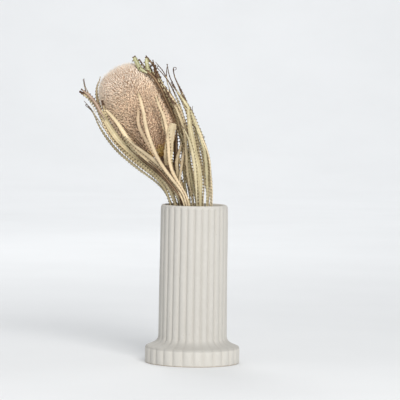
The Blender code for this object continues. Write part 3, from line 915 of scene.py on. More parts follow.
@dataclass
class Copier:
    """Places many copies of one small shape in one mesh."""

    points: np.ndarray
    faces: np.ndarray

    @classmethod
    def turned(cls, outline: Sequence[tuple[float, float]], sides: int) -> Copier:
        """Models a small round shape in the scene and takes its mesh as the pattern.

        Args:
            outline: Radius and height of each row; the last is the tip.
            sides: How many sides it has.

        Returns:
            The shape, as triangles.
        """
        pattern = turn_up(outline, sides)
        bpy.ops.object.mode_set(mode="EDIT")
        bpy.ops.mesh.select_all(action="SELECT")
        bpy.ops.mesh.quads_convert_to_tris()
        bpy.ops.object.mode_set(mode="OBJECT")
        points = read_points(pattern)
        faces = np.array([face.vertices[:] for face in pattern.data.polygons])
        mesh = pattern.data
        bpy.data.objects.remove(pattern)
        bpy.data.meshes.remove(mesh)
        return cls(points, faces)

    def copies(
        self, roots: np.ndarray, heading: np.ndarray, size: np.ndarray, bend: np.ndarray
    ) -> tuple:
        """Sets the copies on their roots.

        Args:
            roots: Where each stands.
            heading: The way each points.
            size: The scale of each.
            bend: The way each leans over, growing with the square of the height.

        Returns:
            All points, all faces, and each point's share of the shape's height.
        """
        count = len(roots)
        tall = self.points[:, 2].max()
        helper = np.where(
            np.abs(heading[:, 2:3]) < 0.9, np.array((0.0, 0.0, 1.0)), np.array((1.0, 0.0, 0.0))
        )
        side = unit(np.cross(heading, helper))
        front = np.cross(heading, side)
        local = self.points[None] * size[:, None, None]
        share = self.points[:, 2] / tall
        placed = side[:, None] * local[..., 0:1] + front[:, None] * local[..., 1:2]
        placed = placed + heading[:, None] * local[..., 2:3] + roots[:, None]
        placed = placed + bend[:, None] * (share**2)[None, :, None] * (size * tall)[:, None, None]
        shift = (np.arange(count) * len(self.points))[:, None, None]
        faces = (self.faces[None] + shift).reshape(-1, self.faces.shape[1])
        return placed.reshape(-1, 3), faces, np.tile(share, count)


@dataclass
class FlowerHead:
    """The banksia head: a core closely set with felted florets, and fine hairs between them."""

    base: Point = (-43.0, 8.0, 266.0)
    lean: float = math.radians(30.3)
    length: float = 117.0
    side_line: Outline = (
        (9.5, 0.0), (16.0, 0.03), (21.5, 0.07), (26.0, 0.13), (29.4, 0.2), (32.4, 0.3),
        (33.8, 0.42), (34.2, 0.55), (34.0, 0.68), (32.6, 0.78), (29.8, 0.86), (25.8, 0.92),
        (19.6, 0.965), (10.5, 0.992), (0.0, 1.0),
    )
    pitch: float = 2.05
    row_step: float = 1.78
    floret_outline: Outline = ((0.42, 0.0), (0.50, 2.4), (0.86, 4.0), (0.80, 5.2), (0.0, 6.1))
    floret_sides: int = 5
    rise: float = 0.45
    crown_shrink: float = 0.36
    sunk: float = 1.6
    hairs: int = 13000
    hair_outline: Outline = ((0.075, 0.0), (0.05, 1.4), (0.0, 2.6))
    split_share: float = 0.52

    def axes(self) -> tuple[np.ndarray, np.ndarray, np.ndarray]:
        """Works out the head's own directions.

        Returns:
            The axis and the two directions across it.
        """
        axis = np.array((-math.sin(self.lean), 0.0, math.cos(self.lean)))
        across = np.array((math.cos(self.lean), 0.0, math.sin(self.lean)))
        return axis, across, np.cross(axis, across)

    def outwards(self, turn: np.ndarray) -> np.ndarray:
        """The directions away from the axis at these angles round it."""
        _, across, along = self.axes()
        return np.outer(np.cos(turn), across) + np.outer(np.sin(turn), along)

    def outline(self) -> tuple[np.ndarray, np.ndarray]:
        """Samples the core's side line evenly by length, from the base to the pole.

        Returns:
            Heights and radii.
        """
        radii, shares = np.array(self.side_line).T
        line = smooth_path(np.column_stack([shares * self.length, radii, 0.0 * radii]), 1200)
        return np.clip(line[:, 0], 0.0, self.length), np.clip(line[:, 1], 0.05, None)

    def lattice(self) -> tuple[np.ndarray, np.ndarray, np.ndarray]:
        """Spreads the florets over the core in staggered rows whose columns run along the head.

        Returns:
            Roots on the core, outward directions, and the share of the head's length of each.
        """
        axis = self.axes()[0]
        heights, radii = self.outline()
        step = np.hypot(np.diff(heights), np.diff(radii))
        travelled = np.concatenate([[0.0], np.cumsum(step)])
        slope = np.arctan2(-np.gradient(radii), np.gradient(heights))
        draw = np.random.default_rng(SEED)
        roots, normals, shares = [], [], []
        for row in range(int(travelled[-1] / self.row_step) + 1):
            at = min(row * self.row_step + 0.6, travelled[-1] - 0.2)
            height, radius, tilt = (
                np.interp(at, travelled, part) for part in (heights, radii, slope)
            )
            count = max(3, round(math.tau * radius / self.pitch / 3.0) * 3)
            turn = (np.arange(count) + 0.5 * (row % 2)) * math.tau / count
            out = self.outwards(turn + draw.normal(0.0, 0.09, count) * math.tau / count)
            lift = draw.normal(0.0, 0.22, count)[:, None]
            roots.append(np.array(self.base) + axis * (height + lift) + out * radius)
            normals.append(out * math.cos(tilt) + axis * math.sin(tilt))
            shares.append(np.full(count, height / self.length))
        return np.vstack(roots), np.vstack(normals), np.concatenate(shares)

    def build_core(self) -> bpy.types.Object:
        """Shapes the dark inner body from a sphere, just under the florets.

        Returns:
            The core, not yet dressed.
        """
        deselect_all()
        bpy.ops.mesh.primitive_uv_sphere_add(segments=48, ring_count=40, radius=1.0)
        piece = bpy.context.object
        piece.name = "banksia_core"
        points = read_points(piece)
        heights, radii = self.outline()
        share = np.clip(np.arccos(np.clip(-points[:, 2], -1.0, 1.0)) / math.pi, 0.0, 1.0)
        at = share * (len(heights) - 1)
        height, radius = (np.interp(at, np.arange(len(part)), part) for part in (heights, radii))
        off_poles = (share >= 1e-4) & (share < 1.0 - 1e-4)
        radius = np.maximum(radius - self.sunk * 0.6, 0.0) * off_poles
        out = self.outwards(np.arctan2(points[:, 1], points[:, 0]))
        along = self.axes()[0] * (height * 0.985 + 0.6)[:, None]
        write_points(piece, (np.array(self.base) + along + out * radius[:, None]) * MM)
        # Height 0.05 gives the core the felt's dark root colour, partly painted shade between the
        # florets.
        write_tone(piece, 0.05, share, 0.5)
        piece.data.shade_smooth()
        return piece

    def build_florets(self) -> list[bpy.types.Object]:
        """Sets a felted floret on every root, in a lower and an upper piece.

        Returns:
            The two pieces, not yet dressed.
        """
        axis = self.axes()[0]
        roots, normals, shares = self.lattice()
        draw = np.random.default_rng(SEED + 1)
        crown = shares[:, None] ** 3
        lifted = normals + axis * (self.rise * (1.0 - 0.4 * crown))
        heading = unit(lifted + draw.normal(0.0, 0.07, normals.shape))
        size = np.clip(draw.normal(0.93, 0.07, len(roots)), 0.75, 1.08)
        size = size * (0.80 + 0.20 * ramp(shares, 0.0, 0.15))
        size *= 1.0 - self.crown_shrink * ramp(shares, 0.82, 1.0)
        bend = axis * 0.16 + draw.normal(0.0, 0.05, normals.shape)
        chance = draw.uniform(0.0, 1.0, len(roots))
        pattern = Copier.turned(self.floret_outline, self.floret_sides)
        each = len(pattern.points)
        low = shares < self.split_share
        pieces = []
        for name, chosen in (("florets_lower", low), ("florets_upper", ~low)):
            start = roots[chosen] - normals[chosen] * self.sunk
            points, faces, up = pattern.copies(start, heading[chosen], size[chosen], bend[chosen])
            pieces.append(new_piece(name, points, faces))
            write_tone(
                pieces[-1], up, np.repeat(shares[chosen], each), np.repeat(chance[chosen], each)
            )
        return pieces

    def build_hairs(self) -> bpy.types.Object:
        """Raises fine hairs between the florets' tips.

        Returns:
            The hairs, not yet dressed.
        """
        roots, normals, shares = self.lattice()
        draw = np.random.default_rng(SEED + 2)
        chosen = draw.integers(0, len(roots), self.hairs)
        normal = normals[chosen]
        heading = unit(normal + self.axes()[0] * 0.6 + draw.normal(0.0, 0.35, normal.shape))
        start = roots[chosen] + normal * 2.3 + draw.normal(0.0, 0.5, normal.shape)
        pattern = Copier.turned(self.hair_outline, 3)
        size = draw.uniform(0.6, 1.1, self.hairs) * (1.0 + 0.35 * ramp(shares[chosen], 0.6, 0.95))
        points, faces, up = pattern.copies(
            start, heading, size, draw.normal(0.0, 0.2, normal.shape)
        )
        piece = new_piece("head_hairs", points, faces)
        write_tone(piece, 0.8 + 0.2 * up, np.repeat(shares[chosen], len(pattern.points)), 0.75)
        return piece

    def hand_in(self) -> None:
        """Builds and dresses the head."""
        felt = FeltFinish(
            name="floret_felt_skin", root=(0.54, 0.35, 0.225), middle=(0.79, 0.60, 0.43),
            tip=(0.89, 0.72, 0.535), crown=(0.99, 0.92, 0.83), blush=(0.94, 0.72, 0.52),
        ).material()
        hand_in(self.build_core(), felt, ["flower_head"])
        for piece in (*self.build_florets(), self.build_hairs()):
            hand_in(piece, felt, [])


@dataclass
class BractRing:
    """The woolly bracts under the head: pointed scales in rings, with wool between them.

    Each ring is its depth under the head, its radius, its number of scales and how far they spread.
    """

    thickness: float = 5.0
    gap: float = 0.3
    rings: tuple[tuple[float, float, int, float], ...] = (
        (0.6, 9.6, 26, 0.95), (1.9, 10.2, 24, 0.85), (3.2, 8.8, 20, 0.35), (4.3, 7.0, 16, -0.2)
    )
    scale_outline: Outline = ((1.15, 0.0), (1.3, 1.2), (0.9, 2.8), (0.0, 4.4))
    cushion_outline: Outline = ((6.4, 0.0), (8.8, 1.6), (9.3, 3.4), (8.2, 4.7), (0.0, 4.9))
    wool_outline: Outline = ((0.10, 0.0), (0.07, 1.6), (0.0, 3.0))
    wool: int = 1500

    def build_scales(self, head: FlowerHead) -> bpy.types.Object:
        """Sets the pointed scales round the cushion.

        Args:
            head: The head that they sit under.

        Returns:
            The scales with their cushion, not yet dressed.
        """
        axis = head.axes()[0]
        top = np.array(head.base) - axis * self.gap
        draw = np.random.default_rng(SEED + 3)
        pattern = Copier.turned(self.scale_outline, 6)
        roots, heads, sizes = [], [], []
        for depth, radius, count, spread in self.rings:
            out = head.outwards((np.arange(count) + draw.uniform(0.0, 1.0)) * math.tau / count)
            roots.append(top - axis * depth + out * (radius - 3.0))
            heading = out * spread + axis * (0.25 - 0.1 * spread)
            heads.append(unit(heading + draw.normal(0.0, 0.12, out.shape)))
            sizes.append(draw.uniform(0.8, 1.05, count))
        bend = np.tile(axis * 0.12, (sum(ring[2] for ring in self.rings), 1))
        points, faces, up = pattern.copies(
            np.vstack(roots), np.vstack(heads), np.concatenate(sizes), bend
        )
        cushion = Copier.turned(self.cushion_outline, 36)
        bottom = (top - axis * self.thickness)[None]
        body, body_faces, _ = cushion.copies(bottom, axis[None], np.ones(1), np.zeros((1, 3)))
        faces = np.vstack([faces, body_faces + len(points)])
        piece = new_piece("bract_scales", np.vstack([points, body]), faces)
        height = np.concatenate([0.35 + 0.65 * up, np.full(len(body), 0.25)])
        write_tone(piece, height, 0.4, draw.uniform(0.0, 1.0, len(height)))
        return piece

    def build_wool(self, head: FlowerHead) -> bpy.types.Object:
        """Raises the wool round the scales.

        Args:
            head: The head that it sits under.

        Returns:
            The wool, not yet dressed.
        """
        axis = head.axes()[0]
        draw = np.random.default_rng(SEED + 4)
        turn = draw.uniform(0.0, math.tau, self.wool)
        depth = draw.uniform(0.4, self.thickness, self.wool)
        out = head.outwards(turn)
        radius = np.interp(depth, (0.0, 1.5, 3.4, 5.0), (8.4, 9.4, 9.0, 6.6))
        heading = unit(out + axis * 0.15 + draw.normal(0.0, 0.45, out.shape))
        pattern = Copier.turned(self.wool_outline, 3)
        size = draw.uniform(0.6, 1.15, self.wool)
        top = np.array(head.base) - axis * self.gap
        start = top - axis * depth[:, None] + out * (radius[:, None] - 0.2)
        points, faces, up = pattern.copies(start, heading, size, draw.normal(0.0, 0.35, out.shape))
        piece = new_piece("bract_wool", points, faces)
        write_tone(piece, 0.6 + 0.4 * up, 0.4, 0.6)
        return piece

    def hand_in(self, head: FlowerHead) -> None:
        """Builds and dresses the ring.

        Args:
            head: The head that it sits under.
        """
        wool = FeltFinish(
            name="bract_wool_skin", root=(0.30, 0.14, 0.03), middle=(0.60, 0.34, 0.06),
            tip=(0.80, 0.52, 0.13), crown=(0.80, 0.52, 0.13), blush=(0.72, 0.44, 0.10),
        ).material()
        hand_in(self.build_scales(head), wool, ["bract_cushion"])
        hand_in(self.build_wool(head), wool, [])


@dataclass
class Leaf:
    """One dried leaf, on the middle line that its solid follows.

    Its facing is where the tip's face looks, in degrees: -90 is the viewer. Its tries are how many
    nudges its solid took to lie clear of the others. Blunt is the tip's width against the blade's.
    Dried is how far the tip has shrivelled, from the share of its length in dry_from. Skin is its
    looks where they aren't the slot's, and widest is the share of its length where it is widest.
    The line, the way out from the stem and the last three values are set by settle, and the index
    by the bunch.
    """

    name: str
    slot: Slot
    width: float
    facing: float
    tries: int
    tip: Tip
    path: Path
    index: int = 0
    blunt: float = 0.14
    dried: float = 0.85
    crinkle: float = 1.0
    skin: Skin | Slot | None = None
    dry_from: float = 0.80
    toothed: float = 1.0
    widest: float = 0.45
    line: np.ndarray = field(init=False)
    out: np.ndarray = field(init=False)
    turned: float = 0.0
    slim: float = 1.0
    hidden: float = 0.0

    TRIES = 1400
    NUDGES = (5.0, 22.0, 30.0, 0.6)
    STAGGER = 11.0
    SLIMMING = 0.35
    STEPS = 111
    MOUTH = 200.0
    LIP = 8.0
    STAND_OFF = 0.9
    HUG = 13.0
    LOWEST = 24.0
    HIGHEST = 176.0
    EVENING_ROUNDS = 12

    def settle(self, stem: Stem) -> None:
        """Sets the middle line, nudged as the solid was to lie clear of the others.

        Args:
            stem: The stem that the leaf grows from.
        """
        draw = random.Random(SEED + self.index)
        for number in range(self.tries + 1):
            reach = number / self.TRIES
            side, depth, drop, turn = (draw.uniform(-most, most) * reach for most in self.NUDGES)
            tip_side = draw.uniform(-1, 1) * self.NUDGES[0] * reach
            tip_depth = depth + draw.uniform(-0.7, 0.7) * abs(depth)
        given = np.array(self.path, float)
        shift = np.zeros_like(given)
        shift[:, 0] = np.linspace(side, tip_side, len(given))
        shift[:, 1] = np.linspace(depth, tip_depth, len(given))
        self.turned = math.radians(self.facing) + turn
        self.slim = 1.0 - self.SLIMMING * reach
        mouth = given[0] + shift[0]
        spread = mouth - stem.point(mouth[2])
        root_z = self.MOUTH - 3.5 * np.linalg.norm(spread[:2]) - drop
        root_z -= self.index * 3 % 5 * self.STAGGER
        root_z = min(max(root_z, self.LOWEST), self.HIGHEST)
        self.out = unit(np.array((spread[0], spread[1], 0.0)))
        seat = stem.radius(root_z) + self.STAND_OFF
        root = stem.point(root_z) + self.out * seat
        hug = stem.point(root_z + self.HUG) + self.out * (seat + 1.6)
        self.line = smooth_path([root, hug, *(given + shift)], self.STEPS)
        self.hidden = float(np.argmax(self.line[:, 2] > self.MOUTH - self.LIP)) / (self.STEPS - 1)

    def directions(self) -> tuple[np.ndarray, np.ndarray, np.ndarray]:
        """The way ahead, across the blade and out of its face, with the turning evened out.

        Returns:
            The three directions at each point of the middle line.
        """
        ahead = unit(np.gradient(self.line, axis=0))
        share = np.linspace(0.0, 1.0, len(self.line))[:, None]
        turn = np.clip((share - 0.1) / 0.5, 0.0, 1.0)
        goal = np.array((math.cos(self.turned), math.sin(self.turned), 0.0))
        face = unit(self.out * (1.0 - turn) + goal * turn + 1e-6)
        across = turned_round(unit(np.cross(ahead, face)))
        ahead = turned_round(ahead)
        for _ in range(self.EVENING_ROUNDS):
            held = np.vstack([across[:1], across, across[-1:]])
            across = held[:-2] + 2.0 * across + held[2:]
            across = unit(across - ahead * (across * ahead).sum(axis=1)[:, None])
        return ahead, across, np.cross(across, ahead)

    def shown(self, share: np.ndarray) -> np.ndarray:
        """Turns shares of the length into shares of the length outside the vase."""
        return np.clip((share - self.hidden) / (1.0 - self.hidden), 0.0, 1.0)

    def half_width(self, share: np.ndarray) -> np.ndarray:
        """Works out how wide the blade is.

        Args:
            share: Shares of the length.

        Returns:
            Half the width there, in millimetres.
        """
        shown = self.shown(share)
        grow = 0.48 + 0.52 * np.clip(shown / self.widest, 0.0, 1.0)
        taper = np.clip((1.0 - shown) / 0.32, 0.0, 1.0) ** 0.8
        return self.width / 2 * self.slim * grow * (self.blunt + (1.0 - self.blunt) * taper)


@dataclass
class Strip(Leaf):
    """A thin strip or a shrivelled end that grows out of the bunch and has no solid of its own."""

    fade: float = 0.3

    def settle(self, stem: Stem) -> None:
        """Takes the path as it is given, for a strip doesn't reach the stem.

        Args:
            stem: Not used.
        """
        self.line = smooth_path(self.path, self.STEPS)
        self.turned = math.radians(self.facing)
        self.out = np.array((math.cos(self.turned), math.sin(self.turned), 0.0))

    def half_width(self, share: np.ndarray) -> np.ndarray:
        """Works out how wide the strip is, narrow at both ends.

        Args:
            share: Shares of the length.

        Returns:
            Half the width there, in millimetres.
        """
        grow = 0.45 + 0.55 * np.clip(share / 0.35, 0.0, 1.0)
        taper = np.clip((1.0 - share) / self.fade, 0.0, 1.0) ** 0.8
        return self.width / 2 * grow * (self.blunt + (1.0 - self.blunt) * taper)


@dataclass
class BladeMaker:
    """Cuts a toothed blade from a flat grid and lays it along a leaf's middle line."""

    tooth: float = 4.0
    tooth_places: tuple[float, float] = (0.36, 0.72)
    tooth_share: float = 0.56
    deepest_tooth: float = 2.7
    overhang: float = 1.4
    toothed_from: tuple[float, float] = (0.8, 2.2)
    thickness: float = 0.5
    smoothing_rounds: int = 24
    rib_half: float = 0.42
    rib_height: float = 0.34
    rib_shares: tuple[float, float] = (0.06, 0.34)
    thinnest: float = 0.22
    lanes: int = 5
    hidden_steps: int = 14
    curl_reach: float = 11.0

    def columns(self, leaf: Leaf) -> tuple[np.ndarray, np.ndarray]:
        """Where the blade's columns lie and which of them are notches.

        Args:
            leaf: The leaf.

        Returns:
            Shares of the length, and 1 where a notch is cut, else 0.
        """
        length = np.linalg.norm(np.diff(leaf.line, axis=0), axis=1).sum()
        teeth = max(8, round(length * (1.0 - leaf.hidden) / self.tooth))
        starts = np.linspace(leaf.hidden, 1.0, teeth + 1)
        steps = np.diff(starts)
        valley, peak = (starts[:-1] + steps * place for place in self.tooth_places)
        hidden = np.linspace(0.0, leaf.hidden, self.hidden_steps, endpoint=False)
        share = np.concatenate(
            [hidden, np.column_stack([starts[:-1], valley, peak]).ravel(), [1.0]]
        )
        notch = np.zeros(len(share))
        notch[self.hidden_steps:-1:3] = 1.0
        notch[self.hidden_steps + 1:-1:3] = 0.92
        return share, notch

    def smoothed(self, line: np.ndarray) -> np.ndarray:
        """Eases the bends of a middle line and keeps its ends.

        Args:
            line: The points of the line.

        Returns:
            The eased points.
        """
        line = line.copy()
        for _ in range(self.smoothing_rounds):
            line[1:-1] = 0.25 * line[:-2] + 0.5 * line[1:-1] + 0.25 * line[2:]
        return line

    def curl_end(self, leaf: Leaf, share: np.ndarray, rows: tuple) -> tuple:
        """Curls the last stretch of the middle line.

        Args:
            leaf: The leaf.
            share: Shares of the length.
            rows: The middle line, and the directions ahead, across and out of the face.

        Returns:
            The same rows, curled.
        """
        line, ahead, across, face = (part.copy() for part in rows)
        step = np.linalg.norm(np.diff(line, axis=0), axis=1)
        left = step.sum() - np.concatenate([[0.0], np.cumsum(step)])
        first = min(int(np.argmax(left < self.curl_reach)), len(share) - 4)
        pin = across[first]
        for i in range(first, len(share)):
            angle = leaf.tip.value * ((share[i] - share[first]) / (1.0 - share[first])) ** 1.3
            cos, sin = math.cos(angle), math.sin(angle)
            ahead_i, face_i = ahead[first], face[first]
            ahead[i] = ahead_i * cos + face_i * sin
            face[i] = face_i * cos - ahead_i * sin
            across[i] = pin
            if i > first:
                line[i] = line[i - 1] + ahead[i] * step[i - 1]
        return line, ahead, across, face

    def edges(
        self, leaf: Leaf, share: np.ndarray, notch: np.ndarray, draw: np.random.Generator
    ) -> tuple:
        """How wide the blade is and how deep its notches are.

        Args:
            leaf: The leaf.
            share: The columns' shares of the length.
            notch: Where the notches are.
            draw: The blade's own source of chance.

        Returns:
            Half widths and depths of notch, in millimetres.
        """
        half = np.maximum(leaf.half_width(share), self.thinnest)
        grown = ramp(half, *self.toothed_from) * ramp(leaf.shown(share), 0.0, 0.3)
        half = half + leaf.toothed * self.overhang * grown
        cut = np.minimum(half * self.tooth_share, self.deepest_tooth) * notch * leaf.toothed
        uneven = draw.uniform(0.0, 0.22, len(share)) * np.minimum(half * 0.3, 0.8)
        return half, cut + (notch == 0.0) * uneven

    def grid(self, name: str, steps: int) -> tuple[bpy.types.Object, np.ndarray, np.ndarray]:
        """Adds the flat grid that becomes the blade.

        Args:
            name: The blade's name.
            steps: How many faces it has along its length.

        Returns:
            The grid, and each vertex's column and its lane, which is 0 on the middle line.
        """
        deselect_all()
        bpy.ops.mesh.primitive_grid_add(
            x_subdivisions=steps, y_subdivisions=2 * self.lanes, size=2.0
        )
        piece = bpy.context.object
        piece.name = name
        points = read_points(piece)
        column = np.rint((points[:, 0] + 1.0) / 2.0 * steps).astype(int)
        lane = np.rint((points[:, 1] + 1.0) / 2.0 * 2 * self.lanes).astype(int) - self.lanes
        return piece, column, lane

    def write_map(self, piece: bpy.types.Object, along: np.ndarray, across: np.ndarray) -> None:
        """Writes the leaf's map.

        Args:
            piece: The blade.
            along: Centimetres along the leaf, for each vertex.
            across: The share of the half width, for each vertex.
        """
        corner = np.empty(len(piece.data.loops), dtype=np.int32)
        piece.data.loops.foreach_get("vertex_index", corner)
        flat = np.column_stack([along, across])[corner]
        piece.data.uv_layers["UVMap"].data.foreach_set("uv", flat.astype(np.float32).ravel())

    def build(self, leaf: Leaf) -> bpy.types.Object:
        """Lays the grid along the middle line, with a trough, ripples, teeth and a midrib.

        Args:
            leaf: The settled leaf.

        Returns:
            The blade, not yet dressed.
        """
        share, notch = self.columns(leaf)
        source = np.linspace(0.0, 1.0, leaf.STEPS)
        rows = (self.smoothed(leaf.line), *leaf.directions())
        rows = self.curl_end(leaf, share, tuple(spread_rows(share, source, part) for part in rows))
        travelled = np.concatenate(
            [[0.0], np.cumsum(np.linalg.norm(np.diff(rows[0], axis=0), axis=1))]
        )
        draw = np.random.default_rng(SEED + 50 + leaf.index)
        half, cut = self.edges(leaf, share, notch, draw)
        rib = np.clip(self.rib_half / half, *self.rib_shares)
        piece, column, lane = self.grid(leaf.name.replace("leaf_", "blade_"), len(share) - 1)
        phase = draw.uniform(0.0, math.tau, 4)
        line, _, across, face = (part[column] for part in rows)
        half, cut, rib, at, shown = (
            part[column] for part in (half, cut, rib, travelled, leaf.shown(share))
        )
        size, sign = np.abs(lane), np.sign(lane)
        places = (
            0.0 * rib, rib * 0.5, rib, rib + 0.16 * (1 - rib), 0.62 + 0.2 * rib, 0.0 * rib + 1.0
        )
        aside = np.column_stack(places)[np.arange(len(rib)), size]
        reach = half - cut * (size == self.lanes) - 0.35 * cut * (size == self.lanes - 1)
        reach *= 1.0 + 0.085 * (leaf.crinkle - 1.0) * np.sin(at * 0.9 + phase[2] + sign * 2.0)
        dry = ramp(shown, leaf.dry_from, min(1.0, leaf.dry_from + 0.25)) * leaf.dried
        trough = 0.42 + 0.25 * np.sin(at * 0.05 + phase[0]) + 1.2 * dry
        x = reach * np.sin(trough * aside) / trough
        z = reach * (1.0 - np.cos(trough * aside)) / trough
        ripple = np.sin(at * 0.42 + phase[1] + sign * 1.1)
        ripple += 0.6 * np.sin(at * 0.93 + phase[2] - sign * 0.7)
        waved = 0.13 * leaf.crinkle * (1.0 + 1.2 * dry)
        z = z + waved * ripple * aside**2 * np.minimum(half / 2.5, 1.2)
        z = z + self.rib_height * np.exp(-((aside / np.maximum(rib, 0.01)) ** 2) * 1.6)
        sway = 0.20 * np.sin(at * 0.16 + phase[3]) * shown
        write_points(piece, (line + across * (x * sign + sway)[:, None] + face * z[:, None]) * MM)
        self.write_map(piece, at / 10.0, reach * aside / (half / (0.3 + 0.7 * leaf.toothed)) * sign)
        write_tone(piece, dry, draw.uniform(0.0, 1.0), rib)
        thick = piece.modifiers.new("thickness", "SOLIDIFY")
        thick.thickness = self.thickness * MM
        thick.offset = 0.0
        bpy.ops.object.modifier_apply(modifier=thick.name)
        piece.data.shade_smooth()
        return piece


@dataclass
class Fan:
    """Leaves spread between two paths."""

    name: str
    slots: tuple[Slot, ...]
    width: float
    facing: float
    bow: float
    tries: tuple[int, ...]
    tips: tuple[Tip, ...]
    first: Path
    last: Path

    def leaves(self, draw: random.Random) -> list[Leaf]:
        """Draws the fan's leaves.

        Args:
            draw: The source of chance that all fans share.

        Returns:
            The leaves in order.
        """
        first, last = np.array(self.first, float), np.array(self.last, float)
        made = []
        for number, tries in enumerate(self.tries):
            share = number / (len(self.tries) - 1)
            path = first * (1.0 - share) + last * share
            path[:, 1] += self.bow * math.sin(math.pi * share)
            reach = draw.uniform(0.86, 1.04)
            path[1:] = path[0] + (path[1:] - path[0]) * reach
            path[-1] += np.array((draw.uniform(-6, 3), draw.uniform(-3, 3), draw.uniform(-4, 4)))
            turned = self.facing + draw.uniform(-35.0, 35.0)
            wide = self.width * draw.uniform(0.8, 1.1)
            name = f"{self.name}_{number + 1}"
            slot, tip = self.slots[number % len(self.slots)], self.tips[number % len(self.tips)]
            made.append(Leaf(name, slot, wide, turned, tries, tip, path))
        return made


